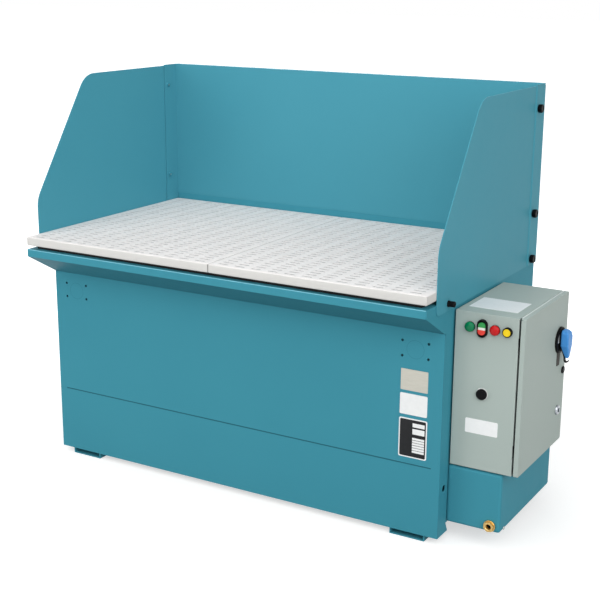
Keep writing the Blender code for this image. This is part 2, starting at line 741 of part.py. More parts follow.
def tube_sheet():
    """The wall with a mouth for each cartridge, and the roof over the clean side behind it."""
    mouths = [circle(y, CARTRIDGE_HEIGHT, MOUTH_DIAMETER / 2, ROUND_STEPS)
              for y in CARTRIDGE_PLACES]
    front = 2 * (SHEET + FIT)
    outline = rectangle(front, PAN_TOP + FIT, REAR_FACE - FIT, TUBE_SHEET_TOP)
    wall = solid_plate("tube_sheet", [outline] + mouths, SHEET, TEAL, (TUBE_SHEET_X, 0, 0), IN_YZ)
    join(wall, box("roof", (TUBE_SHEET_X, front, TUBE_SHEET_TOP - SHEET),
                   (INNER_X, REAR_FACE - FIT, TUBE_SHEET_TOP), None))


def pleats():
    """The star-shaped outline of the pleated media."""
    outer = CARTRIDGE_DIAMETER / 2 - CAP_RIM
    points = []
    for corner in range(2 * PLEATS):
        radius = outer if corner % 2 == 0 else outer - PLEAT_DEPTH
        angle = math.pi * corner / PLEATS
        points.append((radius * math.cos(angle), radius * math.sin(angle)))
    return points


def filter_cartridges():
    """Two pleated cartridges, each with an open cap at the tube sheet and a closed far cap."""
    bore = circle(0, 0, MOUTH_DIAMETER / 2, MOUTH_STEPS)
    radius = CARTRIDGE_DIAMETER / 2
    for name, y in zip(("filter_cartridge_front", "filter_cartridge_rear"), CARTRIDGE_PLACES):
        middle = (TUBE_FACE - CARTRIDGE_LENGTH / 2, y, CARTRIDGE_HEIGHT)
        media = solid_plate(name, [pleats(), bore], CARTRIDGE_LENGTH - CAP_THICKNESS, PAPER,
                            middle, IN_YZ)
        for cap in (ring("open_cap", MOUTH_DIAMETER / 2 - CAP_RIM, radius, 0, CAP_THICKNESS, None,
                         (TUBE_FACE, y, CARTRIDGE_HEIGHT), TO_LEFT, ROUND_STEPS),
                    rod("closed_cap", radius, 0, CAP_THICKNESS, None,
                        (TUBE_FACE - CARTRIDGE_LENGTH, y, CARTRIDGE_HEIGHT), TO_RIGHT,
                        ROUND_STEPS)):
            boolean(media, cap, "UNION", "MANIFOLD")


BAFFLE_WIDTH = 0.240
BAFFLE_RISE = 0.020
BAFFLE_SHEET = 0.0015
BAFFLE_FLAT = 0.060


def spark_baffle():
    """One folded sheet over both cartridges that keeps sparks and coarse dust off the media."""
    base = CARTRIDGE_HEIGHT + CARTRIDGE_DIAMETER / 2 + FIT
    half, flat, low = BAFFLE_WIDTH / 2, BAFFLE_FLAT / 2, base - BAFFLE_RISE
    under = [(place + y, z) for place in CARTRIDGE_PLACES
             for y, z in ((-half, low), (-flat, base), (flat, base), (half, low))]
    fold = under + [(y, z + BAFFLE_SHEET) for y, z in reversed(under)]
    plate("spark_baffle", [fold], CARTRIDGE_LENGTH, STEEL,
          (TUBE_FACE - CARTRIDGE_LENGTH / 2, 0, 0), IN_YZ)


# Dust drawer, its runners and the hopper above it

RUNNER_WIDTH = 0.014
RUNNER_HEIGHT = 0.040
RUNNER_LEDGE = 0.010
RUNNER_SHELF = 0.012
DRAWER_LAP = 0.012
HANDLE_SPAN = 0.120
HANDLE_REACH = 0.032
HANDLE_RADIUS = 0.004
HANDLE_BEND = 0.010
HOPPER_DROP = 0.0325
HOPPER_SHEET = 0.002
DRAWER_FRONT_Y = (CABINET_DEPTH - DRAWER_WIDTH) / 2
DRAWER_REAR_Y = DRAWER_FRONT_Y + DRAWER_WIDTH
DRAWER_BASE = PAN_TOP + RUNNER_LEDGE + FIT
DRAWER_TOP = DRAWER_BASE + DRAWER_HEIGHT
DRAWER_MOUTH_X = -HALF_WIDTH - FIT
HOPPER_TOP = CARTRIDGE_HEIGHT - CARTRIDGE_DIAMETER / 2 - HOPPER_DROP


def bottom_pan():
    """The cabinet's floor, with two angles on it that carry the drawer and guide its sides."""
    pan = box("bottom_pan", (-INNER_X, SHEET + FIT, PAN_TOP - SHEET),
              (INNER_X, REAR_FACE - FIT, PAN_TOP), TEAL)
    base = PAN_TOP - SHEET / 2
    shelf, top = PAN_TOP + RUNNER_LEDGE, PAN_TOP + RUNNER_HEIGHT
    for edge, side in ((DRAWER_FRONT_Y - RUN, -1), (DRAWER_REAR_Y + RUN, 1)):
        outer, inner = edge + side * RUNNER_WIDTH, edge - side * RUNNER_SHELF
        angle = [(outer, base), (inner, base), (inner, shelf), (edge, shelf), (edge, top),
                 (outer, top)]
        join(pan, solid_plate("runner", [angle], DRAWER_LENGTH, None,
                              (DRAWER_LENGTH / 2 - INNER_X + FIT, 0, 0), IN_YZ))


def dust_drawer():
    """The dust drawer with its face outside the left panel, and its handle."""
    front = DRAWER_MOUTH_X
    end = front + DRAWER_LENGTH
    wall, lap = DRAWER_SHEET, DRAWER_LAP
    drawer = box("dust_drawer", (front - wall / 2, DRAWER_FRONT_Y, DRAWER_BASE),
                 (end, DRAWER_REAR_Y, DRAWER_TOP), TEAL)
    cut(drawer, box("tray", (front + wall, DRAWER_FRONT_Y + wall, DRAWER_BASE + wall),
                    (end - wall, DRAWER_REAR_Y - wall, DRAWER_TOP + OVERRUN), None))
    join(drawer, box("face", (front - wall, DRAWER_FRONT_Y - lap, DRAWER_BASE - RUN),
                     (front, DRAWER_REAR_Y + lap, DRAWER_TOP + lap), None))
    slide = pivot("drawer_slide", (front, CABINET_DEPTH / 2, DRAWER_BASE))
    seat = front - wall - FIT
    out = seat - HANDLE_REACH
    low, high = (CABINET_DEPTH - HANDLE_SPAN) / 2, (CABINET_DEPTH + HANDLE_SPAN) / 2
    z = (DRAWER_BASE + DRAWER_TOP) / 2
    route = [(seat, low, z), (out + HANDLE_BEND, low, z), (out, low + HANDLE_BEND, z),
             (out, high - HANDLE_BEND, z), (out + HANDLE_BEND, high, z), (seat, high, z)]
    hang([drawer, pipe("drawer_handle", route, HANDLE_RADIUS, STEEL)], slide)


def funnel(name, low, high, base, top, material, wall=0, overrun=0):
    """A four-sided funnel between two rectangles, thinned by a wall and run past both ends."""
    rise = top - base
    mesh = bpy.data.meshes.new(name)
    shape = bmesh.new()
    bmesh.ops.create_cube(shape, size=2)
    for vert in shape.verts:
        share = (rise + overrun) / rise if vert.co.z > 0 else -overrun / rise
        place = []
        for axis in (0, 1):
            side = axis + 2 if vert.co[axis] > 0 else axis
            run = high[side] - low[side]
            inset = wall * math.hypot(run, rise) / rise
            place.append(low[side] + run * share - inset * vert.co[axis])
        vert.co = (*place, base + rise * share)
    shape.to_mesh(mesh)
    shape.free()
    return add_object(name, mesh, material)


def dust_hopper():
    """The funnel under the cartridges that leads the dust into the drawer."""
    base = DRAWER_TOP + 2 * RUN
    low = (-INNER_X, DRAWER_FRONT_Y, DRAWER_MOUTH_X + DRAWER_LENGTH - OVERRUN, DRAWER_REAR_Y)
    high = (-INNER_X, SHEET + FIT, TUBE_FACE, REAR_FACE - FIT)
    shell = funnel("dust_hopper", low, high, base, HOPPER_TOP, TEAL)
    cut(shell, funnel("hollow", low, high, base, HOPPER_TOP, None, HOPPER_SHEET, OVERRUN))


# Blower, motor and exhaust

FAN_X = 0.380
FAN_Y = 0.380
HOUSING_SHEET = 0.002
HOUSING_WIDTH = 0.120
VOLUTE_START = 0.165
VOLUTE_GROWTH = 0.038
OUTLET_HEIGHT = 0.140
VOLUTE_STEPS = 32
INLET_DIAMETER = 0.170
SHAFT_RADIUS = 0.012
HUB_RADIUS = 0.026
BLADES = 9
BLADE_SWEEP = math.radians(38)
BLADE_STEPS = 3
BLADE_SHEET = 0.003
RUNNING_GAP = 0.008
OUTLET_FLOOR = PAN_TOP + FIT
FAN_Z = OUTLET_FLOOR + VOLUTE_START + VOLUTE_GROWTH


def volute(inset, reach):
    """The spiral casing seen along the shaft, inset by its wall, with a straight outlet."""
    floor = OUTLET_FLOOR + inset
    ceiling = OUTLET_FLOOR + OUTLET_HEIGHT - inset
    tongue = math.asin((ceiling - FAN_Z) / (VOLUTE_START - inset))
    points = []
    for step in range(VOLUTE_STEPS + 1):
        share = step / VOLUTE_STEPS
        angle = tongue + (3 * math.pi / 2 - tongue) * share
        radius = VOLUTE_START + VOLUTE_GROWTH * share - inset
        points.append((FAN_Y + radius * math.cos(angle), FAN_Z + radius * math.sin(angle)))
    return points + [(reach, floor), (reach, ceiling)]


def outlet_outline():
    """The blower's rectangular outlet, drawn in X and Z."""
    half = HOUSING_WIDTH / 2
    return rectangle(FAN_X - half, OUTLET_FLOOR, FAN_X + half, OUTLET_FLOOR + OUTLET_HEIGHT)


def blower_housing():
    """The rolled sheet volute, with its inlet towards the filters and its outlet at the rear."""
    reach = REAR_FACE - FIT
    centre = (FAN_X, FAN_Y, FAN_Z)
    housing = solid_plate("blower_housing", [volute(0, reach)], HOUSING_WIDTH, CAST,
                          (FAN_X, 0, 0), IN_YZ)
    hollow = solid_plate("hollow", [volute(HOUSING_SHEET, reach + OVERRUN)],
                         HOUSING_WIDTH - 2 * HOUSING_SHEET, None, (FAN_X, 0, 0), IN_YZ)
    inlet = rod("inlet", INLET_DIAMETER / 2, 0, HOUSING_WIDTH, None, centre, TO_LEFT, ROUND_STEPS)
    shaft_hole = rod("shaft_hole", SHAFT_RADIUS + RUN, 0, HOUSING_WIDTH, None, centre, TO_RIGHT)
    cut(housing, hollow, inlet, shaft_hole)


def blade_outline(angle):
    """One backward-curved blade between the inlet and the rim, of constant thickness."""
    inner = INLET_DIAMETER / 2 - RUNNING_GAP
    outer = FAN_DIAMETER / 2 - BLADE_SHEET
    near, far = [], []
    for step in range(BLADE_STEPS + 1):
        share = step / BLADE_STEPS
        radius = inner + (outer - inner) * share
        half = BLADE_SHEET / 2 / radius
        lag = angle - BLADE_SWEEP * share
        near.append((radius * math.cos(lag - half), radius * math.sin(lag - half)))
        far.append((radius * math.cos(lag + half), radius * math.sin(lag + half)))
    return near + far[::-1]


def fan_rotor():
    """The impeller, with its hub, back disc, shroud and curved blades, on the motor's shaft."""
    half, rim, bore = FAN_WIDTH / 2, FAN_DIAMETER / 2, SHAFT_RADIUS + FIT
    centre = Vector((FAN_X, FAN_Y, FAN_Z))
    disc = turned("impeller", [(bore, half), (rim, half), (rim, half - BLADE_SHEET),
                               (HUB_RADIUS, half - BLADE_SHEET), (HUB_RADIUS, -half),
                               (bore, -half)], CAST, centre, TO_RIGHT, ROUND_STEPS, closed=True)
    shroud = ring("shroud", INLET_DIAMETER / 2 - 2 * RUNNING_GAP, rim, -half, BLADE_SHEET - half,
                  None, centre, TO_RIGHT, ROUND_STEPS)
    blades = [solid_plate("blade", [blade_outline(2 * math.pi * blade / BLADES)],
                          FAN_WIDTH - BLADE_SHEET, None, centre, IN_YZ) for blade in range(BLADES)]
    join(disc, *blades, shroud)
    shaft = rod("motor_shaft", SHAFT_RADIUS, -half, MOTOR_X - FAN_X, STEEL, centre, TO_RIGHT)
    hang([disc, shaft], pivot("fan_spindle", centre))


MOTOR_GAP = 0.008
MOTOR_COVER = 0.040
MOTOR_FOOT = 0.018
PEDESTAL_SHEET = 0.004
PEDESTAL_WIDTH = 0.170
PEDESTAL_LENGTH = 0.150
FIN_DEPTH = 0.006
FINS = 12
FIN_SHARES = (-0.30, -0.14, 0.14, 0.30)
NOSE_SHARE = 0.45
TERMINAL_BOX = 0.060
MOTOR_X = FAN_X + HOUSING_WIDTH / 2 + MOTOR_GAP + MOTOR_LENGTH / 2


def motor_body():
    """The motor: a finned casing between two covers, with its terminal box and its foot."""
    radius = MOTOR_DIAMETER / 2
    base = radius - FIN_DEPTH
    outline = []
    for fin in range(FINS):
        for share, height in zip(FIN_SHARES, (base, radius, radius, base)):
            angle = 2 * math.pi * (fin + share) / FINS
            outline.append((height * math.cos(angle), height * math.sin(angle)))
    centre = Vector((MOTOR_X, FAN_Y, FAN_Z))
    half, casing_half = MOTOR_LENGTH / 2, MOTOR_LENGTH / 2 - MOTOR_COVER
    casing = solid_plate("motor_body", [outline], 2 * casing_half, CAST, centre, IN_YZ)
    nose = radius * NOSE_SHARE
    covers = turned("covers", [(0, half), (nose, half), (base - FIN_DEPTH, casing_half),
                               (base - FIN_DEPTH, -casing_half), (nose, -half), (0, -half)],
                    None, centre, TO_RIGHT)
    box_half = Vector((TERMINAL_BOX, TERMINAL_BOX, 2 * radius + TERMINAL_BOX)) / 2
    terminal = box("terminal", centre - Vector((box_half.x, box_half.y, 0)), centre + box_half, None)
    foot_half = Vector((casing_half - MOTOR_FOOT, PEDESTAL_WIDTH / 2 - PEDESTAL_SHEET, 0))
    low = centre - foot_half - Vector((0, 0, radius + MOTOR_FOOT / 2))
    high = centre + foot_half - Vector((0, 0, radius - MOTOR_FOOT))
    join(casing, covers, terminal, box("foot", low, high, None))
    cut(casing, rod("shaft_seat", SHAFT_RADIUS + FIT, -MOTOR_LENGTH, FIT, None, centre, TO_RIGHT))


def motor_pedestal():
    """The bent channel that carries the motor's foot on the cabinet floor."""
    top = FAN_Z - MOTOR_DIAMETER / 2 - MOTOR_FOOT / 2 - FIT
    base = PAN_TOP + FIT
    half, wall = PEDESTAL_WIDTH / 2, PEDESTAL_SHEET
    section = [(-half, base), (-half, top), (half, top), (half, base), (half - wall, base),
               (half - wall, top - wall), (wall - half, top - wall), (wall - half, base)]
    plate("motor_pedestal", [[(FAN_Y + y, z) for y, z in section]], PEDESTAL_LENGTH, STEEL,
          (MOTOR_X, 0, 0), IN_YZ)


GRILLE_MARGIN = 0.020
GRILLE_BARS = 6
GRILLE_BAR_SHARE = 0.35


def exhaust_grille():
    """The slatted grille over the exhaust opening, outside the rear panel."""
    half = HOUSING_WIDTH / 2
    frame = rectangle(FAN_X - half - GRILLE_MARGIN, OUTLET_FLOOR - GRILLE_MARGIN,
                      FAN_X + half + GRILLE_MARGIN, OUTLET_FLOOR + OUTLET_HEIGHT + GRILLE_MARGIN,
                      GRILLE_MARGIN / 2)
    pitch = OUTLET_HEIGHT / GRILLE_BARS
    edge = GRILLE_BAR_SHARE / 2
    gaps = [rectangle(FAN_X - half, OUTLET_FLOOR + pitch * (gap + edge), FAN_X + half,
                      OUTLET_FLOOR + pitch * (gap + 1 - edge)) for gap in range(GRILLE_BARS)]
    plate("exhaust_grille", [frame] + gaps, SHEET, TEAL,
          (0, CABINET_DEPTH + FIT + SHEET / 2, 0), IN_XZ)


# Compressed air

TANK_FACE = HALF_WIDTH + FIT
TANK_FRONT = ENCLOSURE_FRONT + RUN
TANK_EDGE = 0.008
FITTING_X = 0.148
FITTING_RISE = 0.021
FITTING_RADIUS = 0.0195
FITTING_NECK = 0.0115
FITTING_BORE = 0.0085
FITTING_LENGTH = 0.014
PIPE_RADIUS = 0.013
PIPE_BEND = 0.020
PIPE_CLEARANCE = 0.024
PIPE_RISE = 0.156
PIPE_INSET = 0.040
VALVE_RADIUS = 0.032
VALVE_LENGTH = 0.050
VALVE_NECK = 0.012
VALVE_SHARE = 0.7
BLOW_GAP = 0.050
PIPE_X = INNER_X - PIPE_CLEARANCE - PIPE_RADIUS
PIPE_Z = TANK_BASE + PIPE_RISE
VALVE_X = PIPE_X - 2 * PIPE_BEND
PIPE_STARTS = [CARTRIDGE_PLACES[0], TANK_FRONT + TANK_WIDTH - PIPE_INSET]


def pipe_bores():
    """Cutters for the two air pipes through the right-hand panel and the tank's back."""
    return [rod("pipe_bore", PIPE_RADIUS + RUN, HALF_WIDTH - OVERRUN,
                TANK_FACE + TANK_WALL + OVERRUN, None, (0, y, PIPE_Z), TO_RIGHT)
            for y in PIPE_STARTS]


def air_tank():
    """The welded air tank on the cabinet's side, with its ports."""
    low = Vector((TANK_FACE, TANK_FRONT, TANK_BASE))
    high = low + Vector((TANK_DEPTH, TANK_WIDTH, TANK_HEIGHT))
    wall = Vector((TANK_WALL, TANK_WALL, TANK_WALL))
    tank = round_edges(box("air_tank", low, high, TEAL), TANK_EDGE)
    hollow = round_edges(box("hollow", low + wall, high - wall, None), TANK_EDGE - TANK_WALL)
    port = rod("port", FITTING_NECK + FIT, -OVERRUN, OVERRUN, None,
               (HALF_WIDTH + FITTING_X, TANK_FRONT, TANK_BASE + FITTING_RISE), TO_FRONT)
    cut(tank, hollow, port, *pipe_bores())


def air_inlet_fitting():
    """The brass hexagon bushing that the shop's air line screws into."""
    place = (HALF_WIDTH + FITTING_X, TANK_FRONT, TANK_BASE + FITTING_RISE)
    body = rod("air_inlet_fitting", FITTING_RADIUS, FIT, FITTING_LENGTH, BRASS, place, TO_FRONT, 6)
    neck = rod("neck", FITTING_NECK, -TANK_WALL, FITTING_LENGTH / 2, None, place, TO_FRONT)
    bore = rod("bore", FITTING_BORE, -OVERRUN, FITTING_LENGTH + OVERRUN, None, place, TO_FRONT)
    cut(join(body, neck), bore)


def pulse_lines():
    """For each cartridge a riser from the tank, its diaphragm valve and the blow pipe."""
    bend, x, top = PIPE_BEND, PIPE_X, CARTRIDGE_HEIGHT
    profile = [(0, VALVE_LENGTH), (VALVE_RADIUS * VALVE_SHARE, VALVE_LENGTH),
               (VALVE_RADIUS, VALVE_LENGTH * VALVE_SHARE), (VALVE_RADIUS, VALVE_NECK),
               (PIPE_RADIUS, 0), (0, 0)]
    for name, start, y in zip(("pulse_line_front", "pulse_line_rear"), PIPE_STARTS,
                              CARTRIDGE_PLACES):
        knee = PIPE_Z + 2 * bend
        route = [(TANK_FACE + TANK_WALL, start, PIPE_Z), (x + bend, start, PIPE_Z),
                 (x, start, PIPE_Z + bend), (x, start, knee), (x, y, knee + abs(y - start)),
                 (x, y, top - bend), (x - bend, y, top), (VALVE_X - VALVE_NECK, y, top)]
        if start == y:
            del route[3:5]
        valve = turned(name, profile, STEEL, (VALVE_X, y, top), TO_LEFT)
        blow = pipe("blow_pipe", [(VALVE_X - VALVE_LENGTH / 2, y, top),
                                  (TUBE_SHEET_X + BLOW_GAP, y, top)], PIPE_RADIUS, None)
        join(valve, as_mesh(pipe("riser", route, PIPE_RADIUS, None)), as_mesh(blow))


# Control enclosure

BOX_BACK = HALF_WIDTH + ENCLOSURE_STANDOFF
BOX_RIM = BOX_BACK + ENCLOSURE_DEPTH
BOX_REAR = ENCLOSURE_FRONT + ENCLOSURE_WIDTH
BOX_TOP = ENCLOSURE_BASE + ENCLOSURE_HEIGHT
RIM_WIDTH = 0.020
BOX_EDGE = 0.0015
CONTROL_DROP = 0.0455
CONTROL_PITCH = 0.040
CONTROL_INSET = 0.049
CONTROL_Z = BOX_TOP - CONTROL_DROP
CONTROL_X = [BOX_BACK + CONTROL_INSET + CONTROL_PITCH * place for place in range(4)]
NECK_RADIUS = 0.011
PLUG_INSET = 0.0965
PLUG_DROP = 0.253
PLUG_X = BOX_BACK + PLUG_INSET
PLUG_Z = BOX_TOP - PLUG_DROP
NIPPLE_Y = 0.300
NIPPLE_Z = 0.500
NIPPLE_RADIUS = 0.016
NIPPLE_WALL = 0.003
NIPPLE_LENGTH = 0.030
SPACER_RADIUS = 0.012
SPACER_INSET = 0.040


def nipple_bore():
    """The cutter for the cable hub, through the cabinet's side."""
    return rod("nipple_bore", NIPPLE_RADIUS + FIT, -OVERRUN, OVERRUN, None,
               (HALF_WIDTH, NIPPLE_Y, NIPPLE_Z), TO_RIGHT)


def neck_bore(x, z):
    """The cutter for one control's neck, through the enclosure's front wall."""
    return rod("neck_bore", NECK_RADIUS + RUN, -OVERRUN, OVERRUN, None,
               (x, ENCLOSURE_FRONT, z), TO_FRONT)


def enclosure_box():
    """The enclosure's body: an inward rim, four feet, the cable hub and the hinge pins."""
    low = Vector((BOX_BACK, ENCLOSURE_FRONT, ENCLOSURE_BASE))
    high = Vector((BOX_RIM, BOX_REAR, BOX_TOP))
    wall = Vector((ENCLOSURE_SHEET, ENCLOSURE_SHEET, ENCLOSURE_SHEET))
    rim = Vector((OVERRUN, -RIM_WIDTH, -RIM_WIDTH))
    body = round_edges(box("enclosure_box", low, high, GREY), BOX_EDGE)
    hub = rod("hub", NIPPLE_RADIUS, -NIPPLE_LENGTH / 2, NIPPLE_LENGTH / 2, None,
              (HALF_WIDTH + ENCLOSURE_STANDOFF / 2, NIPPLE_Y, NIPPLE_Z), TO_RIGHT)
    way = rod("way", NIPPLE_RADIUS - NIPPLE_WALL, -NIPPLE_LENGTH, NIPPLE_LENGTH, None,
              (HALF_WIDTH, NIPPLE_Y, NIPPLE_Z), TO_RIGHT)
    hollow = box("hollow", low + wall, high - wall, None)
    mouth = box("mouth", (BOX_RIM - OVERRUN, low.y + RIM_WIDTH, low.z + RIM_WIDTH), high + rim, None)
    cut(body, hollow, mouth, neck_bore(PLUG_X, PLUG_Z),
        *[neck_bore(x, CONTROL_Z) for x in CONTROL_X])
    feet = [rod("foot", SPACER_RADIUS, FIT, ENCLOSURE_STANDOFF + ENCLOSURE_SHEET / 2, None,
                (HALF_WIDTH, y, z), TO_RIGHT)
            for y in (low.y + SPACER_INSET, high.y - SPACER_INSET)
            for z in (low.z + SPACER_INSET, high.z - SPACER_INSET)]
    join(body, hub, *feet, *hinge_pins())
    cut(body, way)


PLATE_INSET = 0.030
PLATE_STANDOFF = 0.008
PLATE_SHEET = 0.002
BOSS_RADIUS = 0.004
GEAR_INSET = 0.030
CONTACTOR_WIDTH = 0.055
CONTACTOR_HEIGHT = 0.085
CONTACTOR_DEPTH = 0.080
TRANSFORMER_SIZE = 0.080
CABLE_SPACE = 0.070
NECK_LENGTH = 0.030
BLOCK_SIZE = 0.028
BLOCK_DEPTH = 0.020
PLATE_BACK = BOX_BACK + ENCLOSURE_SHEET + PLATE_STANDOFF


def sub_plate():
    """The mounting plate inside the enclosure, on four bosses."""
    low_y, high_y = ENCLOSURE_FRONT + PLATE_INSET, BOX_REAR - PLATE_INSET
    low_z, high_z = ENCLOSURE_BASE + PLATE_INSET, BOX_TOP - PLATE_INSET
    sheet = box("sub_plate", (PLATE_BACK, low_y, low_z), (PLATE_BACK + PLATE_SHEET, high_y, high_z),
                STEEL)
    for y in (low_y + 3 * BOSS_RADIUS, high_y - 3 * BOSS_RADIUS):
        for z in (low_z + 3 * BOSS_RADIUS, high_z - 3 * BOSS_RADIUS):
            join(sheet, rod("boss", BOSS_RADIUS, FIT - PLATE_STANDOFF, PLATE_SHEET / 2, None,
                            (PLATE_BACK, y, z), TO_RIGHT, 8))
    cut(sheet, rod("cable_way", NIPPLE_RADIUS + RUN, -OVERRUN, OVERRUN, None,
                   (PLATE_BACK, NIPPLE_Y, NIPPLE_Z), TO_RIGHT))


def control_gear():
    """The contactor and the transformer on the mounting plate, above the cables' space."""
    face = PLATE_BACK + PLATE_SHEET + FIT
    y, z = ENCLOSURE_FRONT + PLATE_INSET + GEAR_INSET, ENCLOSURE_BASE + PLATE_INSET + GEAR_INSET
    z = z + CABLE_SPACE
    box("contactor", (face, y, z),
        (face + CONTACTOR_DEPTH, y + CONTACTOR_WIDTH, z + CONTACTOR_HEIGHT), BLACK)
    y = y + CONTACTOR_WIDTH + GEAR_INSET
    box("transformer", (face, y, z),
        (face + TRANSFORMER_SIZE, y + TRANSFORMER_SIZE, z + TRANSFORMER_SIZE), BLACK)


# Controls on the enclosure's front wall

BEZEL_RADIUS = 0.015
BEZEL_DEPTH = 0.006
LENS_RADIUS = 0.0140
LENS_DEPTH = 0.012
DOME_STEPS = 4
BUTTON_RADIUS = 0.0105
BUTTON_DEPTH = 0.012
BUTTON_CAP = 0.005
BUTTON_LIFT = 0.0015
BUTTON_TRAVEL = 0.004
HOUSING_HALF_X = 0.016
HOUSING_HALF_Z = 0.028
HOUSING_DEPTH = 0.011
HOUSING_ROUND_SHARE = 0.98
PAD_HALF_X = 0.0105
PAD_LENGTH = 0.015
PAD_SPACING = 0.008
PLUG_RADIUS = 0.0165
PLUG_DEPTH = 0.010
PLUG_NECK = 0.012


def contact_block(x):
    """The contact block clipped on the end of a control's neck, inside the wall."""
    start = ENCLOSURE_FRONT + NECK_LENGTH
    half = BLOCK_SIZE / 2
    return box("block", (x - half, start - RUN, CONTROL_Z - half),
               (x + half, start + BLOCK_DEPTH, CONTROL_Z + half), None)


def pilot_lamp(name, x, material):
    """A pilot lamp: a domed lens on a bezel, with its neck through the wall."""
    angles = [math.pi / 2 * step / DOME_STEPS for step in range(DOME_STEPS + 1)]
    dome = [(LENS_RADIUS * math.sin(a), BEZEL_DEPTH + LENS_DEPTH * math.cos(a)) for a in angles]
    profile = dome + [(BEZEL_RADIUS, BEZEL_DEPTH), (BEZEL_RADIUS, FIT), (NECK_RADIUS, FIT),
                      (NECK_RADIUS, -NECK_LENGTH), (0, -NECK_LENGTH)]
    lamp = turned(name, profile, material, (x, ENCLOSURE_FRONT, CONTROL_Z), TO_FRONT)
    join(lamp, contact_block(x))


def double_button():
    """An oblong housing with the start button above and the stop button below."""
    x, front = CONTROL_X[1], ENCLOSURE_FRONT - FIT - HOUSING_DEPTH
    half_x, half_z = HOUSING_HALF_X, HOUSING_HALF_Z
    outline = rectangle(x - half_x, CONTROL_Z - half_z, x + half_x, CONTROL_Z + half_z,
                        half_x * HOUSING_ROUND_SHARE, DOME_STEPS)
    housing = solid_plate("button_housing", [outline], HOUSING_DEPTH, BLACK,
                          (0, front + HOUSING_DEPTH / 2, 0), IN_XZ)
    join(housing, rod("neck", NECK_RADIUS, -NECK_LENGTH, HOUSING_DEPTH / 2, None,
                      (x, ENCLOSURE_FRONT, CONTROL_Z), TO_FRONT), contact_block(x))
    soft = PAD_HALF_X * HOUSING_ROUND_SHARE
    low_x, high_x = x - PAD_HALF_X, x + PAD_HALF_X
    well_depth = BUTTON_CAP - BUTTON_LIFT + BUTTON_TRAVEL + FIT
    for name, side, material in (("start_button", 1, GREEN), ("stop_button", -1, RED)):
        inner = CONTROL_Z + side * PAD_SPACING / 2
        outer = inner + side * PAD_LENGTH
        corners = [(low_x, inner, 0), (high_x, inner, 0), (high_x, outer, soft), (low_x, outer, soft)]
        well = rectangle(low_x - FIT, min(inner, outer) - FIT, high_x + FIT, max(inner, outer) + FIT)
        cut(housing, solid_plate("well", [well], 2 * well_depth, None, (0, front, 0), IN_XZ))
        button = solid_plate(name, [rounded(corners, DOME_STEPS)], BUTTON_CAP, material,
                             (0, front + BUTTON_CAP / 2 - BUTTON_LIFT, 0), IN_XZ)
        hang([button], pivot(name + "_slide", (x, front, (inner + outer) / 2)))


def reset_button():
    """The round reset button: a black bezel with a yellow cap that slides in it."""
    place = Vector((CONTROL_X[3], ENCLOSURE_FRONT, CONTROL_Z))
    top = BUTTON_DEPTH + BUTTON_LIFT
    bezel = rod("reset_bezel", BEZEL_RADIUS, FIT, BUTTON_DEPTH, BLACK, place, TO_FRONT, 16)
    join(bezel, rod("neck", NECK_RADIUS, -NECK_LENGTH, FIT + RUN, None, place, TO_FRONT, 16),
         contact_block(place.x))
    cut(bezel, rod("well", BUTTON_RADIUS + FIT, top - BUTTON_CAP - BUTTON_TRAVEL - FIT, top, None,
                   place, TO_FRONT, 16))
    cap = rod("reset_button", BUTTON_RADIUS, top - BUTTON_CAP, top, YELLOW, place, TO_FRONT, 16)
    hang([cap], pivot("reset_button_slide", place))


def front_plug():
    """The black blanking plug in the spare hole of the front wall."""
    edge = PLUG_DEPTH / 4
    turned("front_plug", [(0, PLUG_DEPTH), (PLUG_RADIUS - edge, PLUG_DEPTH),
                          (PLUG_RADIUS, PLUG_DEPTH - edge), (PLUG_RADIUS, FIT), (NECK_RADIUS, FIT),
                          (NECK_RADIUS, -PLUG_NECK), (0, -PLUG_NECK)], BLACK,
           (PLUG_X, ENCLOSURE_FRONT, PLUG_Z), TO_FRONT)


# Enclosure door and what it carries

DOOR_BACK = BOX_RIM + DOOR_GAP
DOOR_FACE = DOOR_BACK + DOOR_THICKNESS
DOOR_SKIN = DOOR_FACE - ENCLOSURE_SHEET
DOOR_CORNER = 0.004
HINGE_X = BOX_RIM + DOOR_GAP / 2 + FIT
HINGE_Y = ENCLOSURE_FRONT + RUN
PIN_RADIUS = 0.0012
KNUCKLE_RADIUS = 0.0022
KNUCKLE_LENGTH = 0.020
HINGE_INSET = 0.060
GASKET_INSET = 0.010
GASKET_WIDTH = 0.010
SWITCH_Y = 0.383
SWITCH_Z = 0.614
LATCH_Y = 0.399
LATCH_Z = 0.373
DOOR_PLUG_Y = 0.433
DOOR_PLUG_Z = 0.500
SPINDLE_RADIUS = 0.006
HEAD_RADIUS = 0.0145
HEAD_DEPTH = 0.006
HEAD_SHARE = 0.86
LATCH_NECK = 0.009
DOOR_PLUG_RADIUS = 0.012
DOOR_PLUG_NECK = 0.008


def door_bore(y, z, radius):
    """A cutter through the door's skin."""
    return rod("door_bore", radius, -OVERRUN, OVERRUN, None, (DOOR_FACE, y, z), TO_RIGHT)


HINGE_PLACES = (ENCLOSURE_BASE + HINGE_INSET, BOX_TOP - HINGE_INSET - 2 * KNUCKLE_LENGTH)


def hinge_pins():
    """The two slim hinge pins in the gap at the front edge, each on a leaf from the box's rim."""
    pins = []
    for z in HINGE_PLACES:
        pins.append(rod("pin", PIN_RADIUS, 0, 2 * KNUCKLE_LENGTH, None, (HINGE_X, HINGE_Y, z)))
        pins.append(box("leaf", (BOX_RIM - ENCLOSURE_SHEET, HINGE_Y + FIT, z + FIT),
                        (HINGE_X, HINGE_Y + PIN_RADIUS - FIT, z + KNUCKLE_LENGTH - FIT), None))
    return pins


